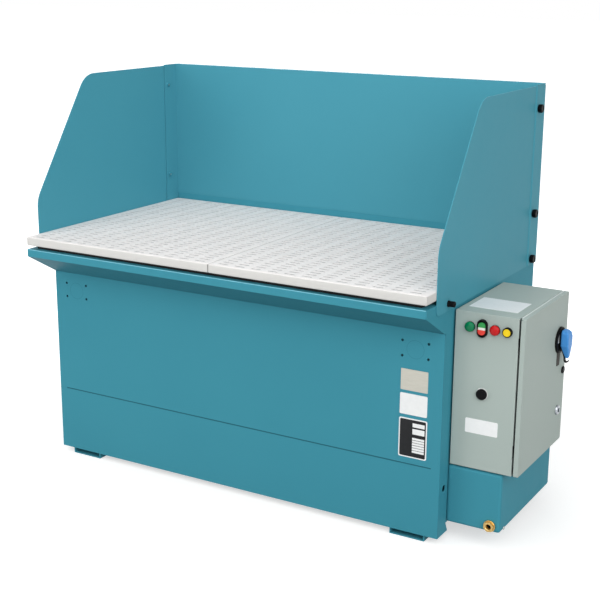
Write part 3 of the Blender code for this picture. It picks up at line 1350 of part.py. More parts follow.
def knuckles():
    """The sleeves on the door that turn on the upper halves of the hinge pins."""
    return [ring("knuckle", PIN_RADIUS + FIT, KNUCKLE_RADIUS, KNUCKLE_LENGTH, 2 * KNUCKLE_LENGTH,
                 None, (HINGE_X, HINGE_Y, z)) for z in HINGE_PLACES]


def enclosure_door():
    """The door, a shallow pan with its returns towards the box, and its hinge knuckles."""
    y0, y1, z0, z1 = ENCLOSURE_FRONT, BOX_REAR, ENCLOSURE_BASE, BOX_TOP
    wall = ENCLOSURE_SHEET
    door = solid_plate("enclosure_door", [rectangle(y0, z0, y1, z1, DOOR_CORNER)], DOOR_THICKNESS,
                       GREY, ((DOOR_BACK + DOOR_FACE) / 2, 0, 0), IN_YZ)
    hollow = box("hollow", (DOOR_BACK - OVERRUN, y0 + wall, z0 + wall),
                 (DOOR_SKIN, y1 - wall, z1 - wall), None)
    cut(door, hollow, door_bore(SWITCH_Y, SWITCH_Z, SWITCH_NECK + RUN),
        door_bore(LATCH_Y, LATCH_Z, LATCH_NECK + RUN),
        door_bore(DOOR_PLUG_Y, DOOR_PLUG_Z, DOOR_PLUG_NECK + RUN))
    return join(door, *knuckles())


def door_gasket():
    """The black foam gasket on the inside of the door, which meets the box's rim."""
    y0, y1 = ENCLOSURE_FRONT + GASKET_INSET, BOX_REAR - GASKET_INSET
    z0, z1 = ENCLOSURE_BASE + GASKET_INSET, BOX_TOP - GASKET_INSET
    width, back, face = GASKET_WIDTH, BOX_RIM + FIT, DOOR_SKIN - FIT
    return plate("door_gasket", [rectangle(y0, z0, y1, z1),
                                 rectangle(y0 + width, z0 + width, y1 - width, z1 - width)],
                 face - back, FOAM, ((face + back) / 2, 0, 0), IN_YZ)


BASE_RADIUS = 0.044
BASE_DEPTH = 0.008
BASE_SHARE = 0.92
SWITCH_SIZE = 0.070
SWITCH_NECK = 0.012
SWITCH_DEPTH = 0.060
LEVER_DEPTH = 0.029
LEVER_TOP = 0.041
LEVER_TAIL = 0.072
LEVER_HALF_TOP = 0.016
LEVER_HALF_TAIL = 0.010
LEVER_ROUND = 0.007
LEVER_EDGE = 0.003


def disconnect():
    """The main switch, with its base ring outside the door and its body behind, and its lever."""
    hole, neck, half = SPINDLE_RADIUS + RUN, SWITCH_NECK, SWITCH_SIZE / 2
    back = -ENCLOSURE_SHEET - FIT
    profile = [(BASE_RADIUS * BASE_SHARE, BASE_DEPTH), (BASE_RADIUS, BASE_DEPTH / 2),
               (BASE_RADIUS, FIT), (neck, FIT), (neck, back - RUN), (hole, back - RUN),
               (hole, BASE_DEPTH)]
    switch = turned("disconnect_switch", profile, BLACK, (DOOR_FACE, SWITCH_Y, SWITCH_Z), TO_RIGHT,
                    ROUND_STEPS, closed=True)
    body = box("body", (DOOR_FACE + back - SWITCH_DEPTH, SWITCH_Y - half, SWITCH_Z - half),
               (DOOR_FACE + back, SWITCH_Y + half, SWITCH_Z + half), None)
    cut(join(switch, body), rod("socket", hole, -SWITCH_DEPTH / 2, OVERRUN, None,
                                (DOOR_FACE, SWITCH_Y, SWITCH_Z), TO_RIGHT, ROUND_STEPS))
    seat = DOOR_FACE + BASE_DEPTH + FIT
    top, tail = SWITCH_Z + LEVER_TOP, SWITCH_Z - LEVER_TAIL
    corners = [(SWITCH_Y - LEVER_HALF_TAIL, tail, LEVER_ROUND),
               (SWITCH_Y + LEVER_HALF_TAIL, tail, LEVER_ROUND),
               (SWITCH_Y + LEVER_HALF_TOP, SWITCH_Z, 0),
               (SWITCH_Y + LEVER_HALF_TOP, top, LEVER_ROUND),
               (SWITCH_Y - LEVER_HALF_TOP, top, LEVER_ROUND),
               (SWITCH_Y - LEVER_HALF_TOP, SWITCH_Z, 0)]
    lever = solid_plate("disconnect_lever", [rounded(corners, DOME_STEPS)], LEVER_DEPTH, BLUE,
                        (seat + LEVER_DEPTH / 2, 0, 0), IN_YZ)
    round_edges(lever, LEVER_EDGE, 1)
    join(lever, rod("spindle", SPINDLE_RADIUS, -SWITCH_DEPTH / 4, BASE_DEPTH + LEVER_DEPTH / 2,
                    None, (DOOR_FACE, SWITCH_Y, SWITCH_Z), TO_RIGHT))
    return switch, lever


CAM_LENGTH = 0.045
CAM_WIDTH = 0.014
CAM_THICKNESS = 0.003
LATCH_BAR = 0.004


def door_latch():
    """The quarter-turn latch: a bright head with a bar, its neck, and a cam behind the rim."""
    cam_face = BOX_RIM - ENCLOSURE_SHEET - RUN
    cam_back = cam_face - CAM_THICKNESS
    latch = turned("door_latch", [(0, HEAD_DEPTH), (HEAD_RADIUS * HEAD_SHARE, HEAD_DEPTH),
                                  (HEAD_RADIUS, FIT), (LATCH_NECK, FIT),
                                  (LATCH_NECK, cam_back + RUN - DOOR_FACE),
                                  (0, cam_back + RUN - DOOR_FACE)], STEEL,
                   (DOOR_FACE, LATCH_Y, LATCH_Z), TO_RIGHT, 16)
    bar = box("bar", (DOOR_FACE + HEAD_DEPTH / 2, LATCH_Y - LATCH_BAR / 2, LATCH_Z - LATCH_NECK),
              (DOOR_FACE + 2 * HEAD_DEPTH, LATCH_Y + LATCH_BAR / 2, LATCH_Z + LATCH_NECK), None)
    cam = box("cam", (cam_back, LATCH_Y - CAM_WIDTH / 2, LATCH_Z - CAM_LENGTH),
              (cam_face, LATCH_Y + CAM_WIDTH / 2, LATCH_Z + LATCH_NECK), None)
    return join(latch, bar, cam)


def door_plug():
    """The black plug in the door's spare hole, near the edge."""
    skin = -ENCLOSURE_SHEET
    return turned("door_plug", [(0, HEAD_DEPTH), (DOOR_PLUG_RADIUS * HEAD_SHARE, HEAD_DEPTH),
                                (DOOR_PLUG_RADIUS, FIT), (DOOR_PLUG_NECK, FIT),
                                (DOOR_PLUG_NECK, skin), (0, skin)], BLACK,
                  (DOOR_FACE, DOOR_PLUG_Y, DOOR_PLUG_Z), TO_RIGHT)


def door_assembly():
    """The door with its gasket, plug, main switch and latch, each hung on its own axis."""
    switch, lever = disconnect()
    hinge = pivot("door_hinge", (HINGE_X, HINGE_Y, ENCLOSURE_BASE))
    hang([enclosure_door(), door_gasket(), door_plug(), switch], hinge)
    for name, piece, y, z in (("lever_spindle", lever, SWITCH_Y, SWITCH_Z),
                              ("latch_spindle", door_latch(), LATCH_Y, LATCH_Z)):
        spindle = pivot(name, (DOOR_FACE, y, z))
        hang([piece], spindle)
        hang([spindle], hinge)


def stand_over_origin():
    """Move the whole table so that the middle of its footprint stands on the origin."""
    bpy.context.view_layer.update()
    graph = bpy.context.evaluated_depsgraph_get()
    corners = []
    for obj in TABLE.objects:
        if obj.type in {"MESH", "CURVE"}:
            seen = obj.evaluated_get(graph)
            corners += [obj.matrix_world @ vert.co for vert in seen.to_mesh().vertices]
            seen.to_mesh_clear()
    middle = Vector((0, 0, 0))
    for axis in (0, 1):
        places = [corner[axis] for corner in corners]
        middle[axis] = (min(places) + max(places)) / 2
    for obj in list(TABLE.objects) + list(CUTTERS.objects):
        if obj.parent is None:
            obj.location = obj.location - middle


side_panels()
front_panel()
front_lip()
rear_panel()
access_panel()
bottom_pan()
foot_channels()
rear_rail()
surface_frame()
surface_seal()
work_surfaces()
side_shields()
back_shield()
shield_fasteners()
tube_sheet()
filter_cartridges()
spark_baffle()
dust_drawer()
dust_hopper()
blower_housing()
fan_rotor()
motor_body()
motor_pedestal()
exhaust_grille()
air_tank()
air_inlet_fitting()
pulse_lines()
enclosure_box()
sub_plate()
control_gear()
pilot_lamp("pilot_green", CONTROL_X[0], GREEN)
double_button()
pilot_lamp("pilot_red", CONTROL_X[2], RED)
reset_button()
front_plug()
door_assembly()
stand_over_origin()
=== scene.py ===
"""The downdraft table's looks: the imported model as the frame, its finishes and its fine pieces.

The file follows the table as it is put together: cabinet, work surface, shields, filters, dust
drawer, blower, air tank, control enclosure with its controls, door, plates, and then the room.
"""
import math

import bmesh
import bpy
import numpy as np
from mathutils import Matrix, Vector


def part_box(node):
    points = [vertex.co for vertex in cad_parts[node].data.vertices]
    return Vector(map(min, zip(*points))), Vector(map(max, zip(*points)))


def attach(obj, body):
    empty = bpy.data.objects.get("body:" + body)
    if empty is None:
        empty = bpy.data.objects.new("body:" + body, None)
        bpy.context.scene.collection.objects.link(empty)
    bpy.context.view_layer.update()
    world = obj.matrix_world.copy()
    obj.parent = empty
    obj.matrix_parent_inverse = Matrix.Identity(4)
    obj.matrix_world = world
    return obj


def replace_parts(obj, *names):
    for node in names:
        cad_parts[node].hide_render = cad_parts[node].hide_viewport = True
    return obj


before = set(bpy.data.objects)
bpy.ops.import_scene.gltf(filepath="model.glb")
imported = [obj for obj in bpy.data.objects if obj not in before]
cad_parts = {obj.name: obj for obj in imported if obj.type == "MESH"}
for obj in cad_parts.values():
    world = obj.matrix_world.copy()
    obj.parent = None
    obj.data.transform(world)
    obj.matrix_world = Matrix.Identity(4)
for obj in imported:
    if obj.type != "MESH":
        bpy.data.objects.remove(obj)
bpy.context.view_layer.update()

# Camera
# The photograph's viewpoint: right of the table and a little above its surface, worked out
# from the straight edges of the cabinet. The long lens is what keeps the verticals upright.
AZIMUTH, ELEVATION, ROLL = (math.radians(angle) for angle in (30.291, 15.171, 0.381))
VIEWPOINT = (2.0397, -3.5623, 1.7476)
LENS_MM, SENSOR_MM, FARTHEST_SEEN = 73.29, 36.0, 200


def put_in_scene(name, data):
    """An object of its own for a camera, a mesh or a lamp, linked to the scene."""
    made = bpy.data.objects.new(name, data)
    bpy.context.scene.collection.objects.link(made)
    return made


back = Vector((math.sin(AZIMUTH) * math.cos(ELEVATION), -math.cos(AZIMUTH) * math.cos(ELEVATION),
               math.sin(ELEVATION)))
level = Vector((math.cos(AZIMUTH), math.sin(AZIMUTH), 0))
upright = back.cross(level)
right = level * math.cos(ROLL) + upright * math.sin(ROLL)
above = upright * math.cos(ROLL) - level * math.sin(ROLL)
camera = put_in_scene("camera", bpy.data.cameras.new("camera"))
camera.matrix_world = (Matrix.Translation(VIEWPOINT)
                       @ Matrix((right, above, back)).transposed().to_4x4())
camera.data.lens = LENS_MM
camera.data.sensor_width = SENSOR_MM
camera.data.clip_end = FARTHEST_SEEN
bpy.context.scene.camera = camera

# Cabinet
# Folded and welded sheet steel, powder coated in one teal. The powder melts into an even film
# with a fine orange peel, a soft gloss, and a slightly fuller edge wherever a sheet is folded.
TEAL, TEAL_DEEP = "#418E9F", "#3C8799"
PEEL_MM, HAZE_MM, DRIFT_MM = 2.6, 35, 420
PEEL_RELIEF, GLOSS_SPREAD, FILM_SHINE = {"Strength": 0.10, "Distance": 0.0004}, 0.04, 0.05
FOLD_MM, FOLD_DEGREES = 0.9, 50
SAME_POINT = 1e-5
# The front panel's crease, and the round knock-out with four small holes near each upper corner,
# in metres from its middle. A line is drawn about twice as wide as in the steel, as the picture
# holds nothing finer. A share says how much of the dark tone a mark takes.
# The crease, the knock-out's ring and its small holes are painted shade on the flat panel.
MARK_SHADE = "#173F4A"
MIDDLE_X = -0.114
CREASE_Z, CREASE_HALF, CREASE_LINE, CREASE_SHARE = 0.254, 0.732, 0.0020, 0.6
KNOCKOUT_X, KNOCKOUT_Z, KNOCKOUT_RADIUS = 0.667, 0.630, 0.029
KNOCKOUT_LINE, KNOCKOUT_SHARE = 0.0012, 0.35
HOLES_X, HOLES_Z, HOLE_RADIUS, HOLE_SHARE = 0.044, 0.0245, 0.0044, 1.0
# The lip's face, its upper fold painted paler as a highlight, and its underside painted as shade.
LIP_LOW, LIP_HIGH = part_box("front_lip")
FOLD_HIGHLIGHT, FOLD_LINE = "#76B9CA", 0.0024
UNDER_SHADE, UNDER_SHARE, LIP_FACE = "#2A5762", 0.45, 0.0270


def linear(code):
    """A shader's colour from an sRGB hex value: a straight line near black, above it a power."""
    parts = [int(code[start:start + 2], 16) / 255 for start in (1, 3, 5)]
    return (*(p / 12.92 if p <= 0.04045 else ((p + 0.055) / 1.055) ** 2.4 for p in parts), 1.0)


def add(tree, kind, inputs=None, **settings):
    """Adds a shader node, sets its options, and fills each input with a value or with what another
    node gives. Where that node itself is named, it is the node's first output in use. Inputs that
    share a name go by number: a mix has its two colours at 6 and 7."""
    node = tree.nodes.new("ShaderNode" + kind)
    for option, value in settings.items():
        setattr(node, option, value)
    for socket, value in (inputs or {}).items():
        if isinstance(value, bpy.types.Node):
            value = next(output for output in value.outputs if output.enabled)
        if isinstance(value, bpy.types.NodeSocket):
            tree.links.new(value, node.inputs[socket])
        else:
            node.inputs[socket].default_value = value
    return node


def bare_material(name):
    """A new material, its tree with nothing in it but the place on the object, and that place."""
    made = bpy.data.materials.new(name)
    made.use_nodes = True
    made.node_tree.nodes.clear()
    return made, made.node_tree, add(made.node_tree, "TexCoord").outputs["Object"]


def per_metre(millimetres):
    """A noise scale whose blotches are about that wide: how many of them make a metre."""
    return 1000 / millimetres


def powder_coat(name, light, deep, gloss=0.5, marks=()):
    """Baked polyester powder: two close tones that drift over the sheet, under a fine orange peel.
    Each mark is a function and a tone: the function of the tree and the place says how far the
    sheet takes that tone there."""
    made, tree, place = bare_material(name)
    drift = add(tree, "TexNoise", {"Vector": place, "Scale": per_metre(DRIFT_MM), "Detail": 3.0})
    tone = add(tree, "Mix", {"Factor": drift, 6: linear(light), 7: linear(deep)}, data_type="RGBA")
    for share, mark_tone in marks:
        tone = add(tree, "Mix", {"Factor": share(tree, place), 6: tone, 7: linear(mark_tone)},
                   data_type="RGBA")
    haze = add(tree, "TexNoise", {"Vector": place, "Scale": per_metre(HAZE_MM), "Detail": 2.0})
    rough = add(tree, "MapRange", {"Value": haze, "To Min": gloss - GLOSS_SPREAD,
                                   "To Max": gloss + GLOSS_SPREAD})
    peel = add(tree, "TexNoise", {"Vector": place, "Scale": per_metre(PEEL_MM), "Detail": 1.0})
    bump = add(tree, "Bump", {"Height": peel, **PEEL_RELIEF})
    coat = add(tree, "BsdfPrincipled", {"Base Color": tone, "Roughness": rough, "Normal": bump,
                                        "Specular IOR Level": FILM_SHINE})
    add(tree, "OutputMaterial", {"Surface": coat})
    return made


def dress(material, *names):
    """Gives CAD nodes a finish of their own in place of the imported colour."""
    for name in names:
        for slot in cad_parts[name].material_slots:
            slot.material = material


def roll_folds(width_mm, *names):
    """Rounds the sharp folds of CAD nodes by a small radius, as bent and coated sheet has."""
    for name in names:
        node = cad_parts[name]
        node.modifiers.new("closed seams", "WELD").merge_threshold = SAME_POINT
        fold = node.modifiers.new("folds", "BEVEL")
        fold.width = width_mm / 1000
        fold.segments = 2
        fold.limit_method = "ANGLE"
        fold.angle_limit = math.radians(FOLD_DEGREES)
        fold.harden_normals = True


def front_painted_shade(tree, place):
    """How much painted shade the front panel takes at a place. The place is measured from the
    middle line at the knock-outs' height and folded over it, so that one knock-out stands for both.
    Folded again over the knock-out's own middle, one small hole stands for four."""
    middle = add(tree, "VectorMath",
                 {0: place, 1: (1, 0, 1), 2: (-MIDDLE_X, 0, -KNOCKOUT_Z)}, operation="MULTIPLY_ADD")
    folded = add(tree, "VectorMath", {0: middle}, operation="ABSOLUTE")
    corner = add(tree, "VectorMath", {0: folded, 1: (KNOCKOUT_X, 0, 0)}, operation="SUBTRACT")
    corner = add(tree, "VectorMath", {0: corner}, operation="ABSOLUTE")
    out = add(tree, "VectorMath", {0: corner}, operation="LENGTH")
    ring = add(tree, "Math", {0: out, 1: KNOCKOUT_RADIUS, 2: KNOCKOUT_LINE / 2},
               operation="COMPARE")
    off = add(tree, "VectorMath", {0: corner, 1: (HOLES_X, 0, HOLES_Z)}, operation="DISTANCE")
    hole = add(tree, "Math", {0: off, 1: HOLE_RADIUS}, operation="LESS_THAN")
    parts = add(tree, "SeparateXYZ", {"Vector": folded})
    line = add(tree, "Math", {0: parts.outputs["Z"], 1: KNOCKOUT_Z - CREASE_Z, 2: CREASE_LINE},
               operation="COMPARE")
    within = add(tree, "Math", {0: parts.outputs["X"], 1: CREASE_HALF}, operation="LESS_THAN")
    crease = add(tree, "Math", {0: line, 1: within}, operation="MULTIPLY")
    dark = 0.0
    for mark, share in ((ring, KNOCKOUT_SHARE), (crease, CREASE_SHARE), (hole, HOLE_SHARE)):
        dark = add(tree, "Math", {0: mark, 1: share, 2: dark}, operation="MULTIPLY_ADD")
    return dark


def lip_underside_shade(tree, place):
    """The lip's sloped underside, painted darker as shade: all that is below its face."""
    height = add(tree, "SeparateXYZ", {"Vector": place}).outputs["Z"]
    below = add(tree, "Math", {0: height, 1: LIP_HIGH.z - LIP_FACE}, operation="LESS_THAN")
    return add(tree, "Math", {0: below, 1: UNDER_SHARE}, operation="MULTIPLY")


def lip_fold_highlight(tree, place):
    """The upper fold of the lip, painted paler as a highlight: the last millimetres of its face."""
    parts = add(tree, "SeparateXYZ", {"Vector": place})
    high = add(tree, "Math", {0: parts.outputs["Z"], 1: LIP_HIGH.z - FOLD_LINE},
               operation="GREATER_THAN")
    front = add(tree, "Math", {0: parts.outputs["Y"], 1: LIP_LOW.y + FOLD_LINE},
                operation="LESS_THAN")
    return add(tree, "Math", {0: high, 1: front}, operation="MULTIPLY")


teal_coat = powder_coat("teal_powder_coat", TEAL, TEAL_DEEP)
dress(powder_coat("teal_powder_coat_lip", TEAL, TEAL_DEEP,
                  marks=((lip_fold_highlight, FOLD_HIGHLIGHT), (lip_underside_shade, UNDER_SHADE))), "front_lip")
dress(powder_coat("teal_powder_coat_front", TEAL, TEAL_DEEP, marks=((front_painted_shade, MARK_SHADE),)),
      "front_panel")
dress(teal_coat, "side_panel_left", "side_panel_right", "rear_panel", "access_panel", "bottom_pan",
      "foot_channel_left", "foot_channel_right", "rear_rail", "surface_frame", "exhaust_grille",
      "tube_sheet", "dust_hopper")
roll_folds(FOLD_MM, "front_lip", "front_panel", "foot_channel_left", "foot_channel_right",
           "rear_rail")

# Foam seal
# A closed-cell neoprene strip between the frame and the panels, black and quite without gloss.
# The cells at its cut face show only as a fine pitting.
FOAM_BLACK, FOAM_GREY = "#0C0C0D", "#1A1A1B"
CELL_MM = 1.2


def grained(name, light, deep, pattern, relief, finish, kind="TexNoise"):
    """A material in two close tones, which one pattern mixes and raises. Pattern holds the values
    of that texture, relief the strength and height of its bump, and finish the shader's values."""
    made, tree, place = bare_material(name)
    grain = add(tree, kind, {"Vector": place, **pattern})
    tone = add(tree, "Mix", {"Factor": grain, 6: linear(light), 7: linear(deep)}, data_type="RGBA")
    shader = add(tree, "BsdfPrincipled", {"Base Color": tone, **finish})
    if relief:
        bump = add(tree, "Bump", {"Height": grain, "Strength": relief[0], "Distance": relief[1]})
        tree.links.new(bump.outputs["Normal"], shader.inputs["Normal"])
    add(tree, "OutputMaterial", {"Surface": shader})
    return made


foam = grained("black_neoprene_foam", FOAM_BLACK, FOAM_GREY, {"Scale": per_metre(CELL_MM)},
               (0.5, 0.0005), {"Roughness": 0.9}, "TexVoronoi")
dress(foam, "surface_seal", "door_gasket")

# Slotted panels
# Two 30 mm panels of white polyethylene lie loose on the seal, each routed with twelve columns and
# thirty-two rows of slots. The routed edges are eased, and use has left the white a little cloudy.
PITCH_X, PITCH_Y = 0.061, 0.0274
COLUMNS, ROWS = 12, 32
SLOT_STRAIGHT, SLOT_RADIUS = 0.0315, 0.0034
SLOT_EASE, PANEL_EASE = 0.0005, 0.0045
SIDE_SPREAD, CORNER_OUT = 0.0045, 0.8
CELL_RINGS, RING_POINTS = 5, 12
PANEL_WHITE, PANEL_CLOUD = "#DEDBDA", "#D5D3D2"
RIM_SHADE = "#CDCCC9"
SLOT_SHADE_GREY, SLOT_SHADE_PALE = "#A2A4A4", "#B4B5B4"
SEAM_SHADE, SEAM_LINE = "#8F8F8C", 0.0016
# The planed face's grain of 3 mm is as fine as the picture can hold.
CLOUD_MM, PLANED_MM, SLOT_MOTTLE_MM = 60, 3, 12


def strips(rows, count, first=0):
    """Quads between neighbouring rows of a grid whose rows each close on themselves."""
    row = np.arange(rows - 1)[:, None] * count + first
    here = np.arange(count)[None, :]
    beside = (here + 1) % count
    return np.stack([row + here, row + beside, row + count + beside, row + count + here],
                    axis=-1).reshape(-1, 4)


def piece(name, points, faces, material, body, smooth_degrees=35):
    """A closed mesh from points and faces, its doubles merged, dressed, and riding on a body."""
    mesh = bpy.data.meshes.new(name)
    mesh.from_pydata(np.reshape(points, (-1, 3)).tolist(), [],
                     [list(face) for group in faces for face in group])
    shell = bmesh.new()
    shell.from_mesh(mesh)
    bmesh.ops.remove_doubles(shell, verts=shell.verts, dist=SAME_POINT)
    bmesh.ops.recalc_face_normals(shell, faces=shell.faces)
    shell.to_mesh(mesh)
    shell.free()
    mesh.shade_smooth()
    mesh.set_sharp_from_angle(angle=math.radians(smooth_degrees))
    mesh.materials.append(material)
    made = put_in_scene(name, mesh)
    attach(made, body)
    return made


def slotted_panel(name, node, material, wall_material):
    """Each slot's cell is five rings of twelve points: the cell's border on top, the slot's eased
    mouth, the slot's wall at both ends, and the border below. A band closes the panel's rim. The
    faces that stand upright away from the rim are the slots' walls."""
    low, high = (np.array(corner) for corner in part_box(node))
    middle = (low + high) / 2
    x = middle[0] + (np.arange(COLUMNS) - (COLUMNS - 1) / 2) * PITCH_X
    y = middle[1] + (np.arange(ROWS) - (ROWS - 1) / 2) * PITCH_Y
    x_lines = np.concatenate([[low[0] + PANEL_EASE], (x[1:] + x[:-1]) / 2, [high[0] - PANEL_EASE]])
    y_lines = np.concatenate([[low[1] + PANEL_EASE], (y[1:] + y[:-1]) / 2, [high[1] - PANEL_EASE]])
    left, right_line, near, far = x_lines[:-1], x_lines[1:], y_lines[:-1], y_lines[1:]
    half = SLOT_STRAIGHT / 2
    border_x = np.stack([x + half, right_line, right_line, right_line, right_line, x + half,
                         x - half, left, left, left, left, x - half], -1)
    border_y = np.stack([near, near, y - SIDE_SPREAD, y + SIDE_SPREAD, far, far,
                         far, far, y + SIDE_SPREAD, y - SIDE_SPREAD, near, near], -1)
    turn = np.radians([-90, -54, -18, 18, 54, 90, 90, 126, 162, 198, 234, 270])
    end = np.repeat([half, -half], RING_POINTS // 2)
    rings = np.zeros((COLUMNS, ROWS, CELL_RINGS, RING_POINTS, 3))
    for ring, radius, z in ((1, SLOT_RADIUS + SLOT_EASE, high[2]),
                            (2, SLOT_RADIUS, high[2] - SLOT_EASE), (3, SLOT_RADIUS, low[2])):
        rings[:, :, ring, :, 0] = x[:, None, None] + end + radius * np.cos(turn)
        rings[:, :, ring, :, 1] = y[None, :, None] + radius * np.sin(turn)
        rings[:, :, ring, :, 2] = z
    for ring, z in ((0, high[2]), (4, low[2])):
        rings[:, :, ring, :, 0] = border_x[:, None, :]
        rings[:, :, ring, :, 1] = border_y[None, :, :]
        rings[:, :, ring, :, 2] = z
    cell_starts = np.arange(COLUMNS * ROWS)[:, None, None] * CELL_RINGS * RING_POINTS
    faces = (strips(CELL_RINGS, RING_POINTS) + cell_starts).reshape(-1, 4)

    xs = np.append(np.stack([left, x - half, x + half], -1).ravel(), right_line[-1])
    ys = np.append(np.stack([near, y - SIDE_SPREAD, y + SIDE_SPREAD], -1).ravel(), far[-1])
    rim = np.concatenate([np.stack([xs[:-1], np.full(len(xs) - 1, ys[0])], -1),
                          np.stack([np.full(len(ys) - 1, xs[-1]), ys[:-1]], -1),
                          np.stack([xs[:0:-1], np.full(len(xs) - 1, ys[-1])], -1),
                          np.stack([np.full(len(ys) - 1, xs[0]), ys[:0:-1]], -1)])
    sides = [len(xs) - 1, len(ys) - 1, len(xs) - 1, len(ys) - 1]
    outward = np.repeat([[0, -1], [1, 0], [0, 1], [-1, 0]], sides, axis=0).astype(float)
    outward[np.cumsum([0, *sides[:-1]])] = (
        CORNER_OUT * np.array([[-1, -1], [1, -1], [1, 1], [-1, 1]]))
    lean = np.radians([0, 25, 50, 75, 90])
    reach = PANEL_EASE * np.sin(lean)
    drop = PANEL_EASE * (1 - np.cos(lean))
    band = np.zeros((2 * len(lean), len(rim), 3))
    band[:, :, :2] = rim + outward * np.concatenate([reach, reach[::-1]])[:, None, None]
    band[:, :, 2] = np.concatenate([high[2] - drop, low[2] + drop[::-1]])[:, None]
    points = np.concatenate([rings.reshape(-1, 3), band.reshape(-1, 3)])
    made = piece(name, points, [faces, strips(len(band), len(rim), rings.size // 3)], material,
                 "cabinet")
    made.data.materials.append(wall_material)
    centre = np.zeros(len(made.data.polygons) * 3, np.float32)
    facing = np.zeros_like(centre)
    made.data.polygons.foreach_get("center", centre)
    made.data.polygons.foreach_get("normal", facing)
    centre, facing = centre.reshape(-1, 3), facing.reshape(-1, 3)
    inside = np.all((centre[:, :2] > low[:2] + 2 * PANEL_EASE)
                    & (centre[:, :2] < high[:2] - 2 * PANEL_EASE), axis=1)
    walls = inside & (np.abs(facing[:, 2]) < 0.5)
    made.data.polygons.foreach_set("material_index", walls.astype(np.int32))
    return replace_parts(made, node)


polyethylene, tree, place = bare_material("white_routed_polyethylene")
cloud = add(tree, "TexNoise", {"Vector": place, "Scale": per_metre(CLOUD_MM), "Detail": 6.0,
                               "Roughness": 0.65})
cloudy = add(tree, "MapRange", {"Value": cloud, "From Min": 0.35, "From Max": 0.75})
tone = add(tree, "Mix", {"Factor": cloudy, 6: linear(PANEL_WHITE), 7: linear(PANEL_CLOUD)},
           data_type="RGBA")
# Painted shade: the upright rim is greyer than the face, and the seam between the panels is dark.
parts = add(tree, "SeparateXYZ", {"Vector": place})
rim_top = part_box("work_surface_left")[1].z - PANEL_EASE / 2
rim = add(tree, "Math", {0: parts.outputs["Z"], 1: rim_top}, operation="LESS_THAN")
seam = add(tree, "Math", {0: parts.outputs["X"], 1: MIDDLE_X, 2: SEAM_LINE}, operation="COMPARE")
for share, mark_tone in ((rim, RIM_SHADE), (seam, SEAM_SHADE)):
    tone = add(tree, "Mix", {"Factor": share, 6: tone, 7: linear(mark_tone)}, data_type="RGBA")
grain = add(tree, "TexNoise", {"Vector": place, "Scale": per_metre(PLANED_MM), "Detail": 3.0})
planed = add(tree, "Bump", {"Height": grain, "Strength": 0.06, "Distance": 0.0006})
shader = add(tree, "BsdfPrincipled", {
    "Base Color": tone, "Roughness": 0.66, "Normal": planed, "Specular IOR Level": 0.25,
    "IOR": 1.51})
add(tree, "OutputMaterial", {"Surface": shader})
# The slot walls are painted grey as shade inside the slots, so each reads as a thin grey dash.
routed = grained("shaded_routed_slot_wall", SLOT_SHADE_GREY, SLOT_SHADE_PALE,
                 {"Scale": per_metre(SLOT_MOTTLE_MM), "Detail": 4.0}, None,
                 {"Roughness": 0.9, "Specular IOR Level": 0.1})
slotted_panel("slotted_panel_left", "work_surface_left", polyethylene, routed)
slotted_panel("slotted_panel_right", "work_surface_right", polyethylene, routed)

# Shields
# Three sheets of the cabinet's own coated steel stand in a U behind the rim of the cabinet. Black
# nylon knobs with ten flutes clamp them at the rear corners, on zinc-plated studs whose ends show
# inside, and a smooth bolt at each front corner.
# The shields' coat is the cabinet's teal painted a little lighter: painted light.
SHIELD_TEAL_LIT, SHIELD_DEEP_LIT = "#4B95A6", "#458FA1"
NYLON, NYLON_WORN = "#08080A", "#121214"
MOULD_MM, RUBBED_MM = 0.9, 9
ZINC, ZINC_DULL, SPANGLE_MM, METAL_SPREAD = "#C3C5C4", "#A9ACAB", 6, 0.07
FLUTES, FLUTE_DEPTH, FLUTE_FADE, FLUTE_ROUND = 10, 0.0013, 12, 0.6
KNOB_LENGTH, BOLT_LENGTH = 0.015, 0.022
STUD_RADIUS, STUD_END = 0.004, 0.0045

shield_coat = powder_coat("teal_powder_coat_shields_lit", SHIELD_TEAL_LIT, SHIELD_DEEP_LIT, gloss=0.44)
dress(shield_coat, "side_shield_left", "side_shield_right", "back_shield")


def axes_of(axis):
    """Two directions across an axis, which with it make a right-handed set."""
    across = {"+X": (1, 2), "-X": (2, 1), "+Y": (2, 0), "-Y": (0, 2), "+Z": (0, 1),
              "-Z": (1, 0)}[axis]
    along = "XYZ".index(axis[1])
    unit = np.eye(3)
    return unit[across[0]], unit[across[1]], unit[along] * (1 if axis[0] == "+" else -1)


def spun(name, profile, place, axis, material, body, sides=40, flutes=0, depth=0.0):
    """A turned piece: a profile of (radius, height) points in metres is carried round an axis. With
    flutes, the radius dips between the ribs by the depth, times a power of half a cosine wave round
    the axis, times a high power of the radius, so that the middle stays round."""
    across, up, along = axes_of(axis)
    radius, height = np.array(profile).T
    turn = np.arange(sides) * 2 * np.pi / sides
    share = (radius / radius.max())[:, None] ** FLUTE_FADE
    dip = depth * share * (0.5 - 0.5 * np.cos(flutes * turn)) ** FLUTE_ROUND
    reach = radius[:, None] - dip
    round_axis = np.cos(turn)[:, None] * across + np.sin(turn)[:, None] * up
    points = np.array(place) + reach[..., None] * round_axis + height[:, None, None] * along
    return piece(name, points, [strips(len(radius), sides)], material, body)


def rounded_rim(radius, top, ease, steps=4):
    """Profile points over a top edge, rounded by a quarter circle."""
    lean = np.radians(np.linspace(0, 90, steps + 1))
    return [(radius - ease + ease * math.cos(a), top - ease + ease * math.sin(a)) for a in lean]


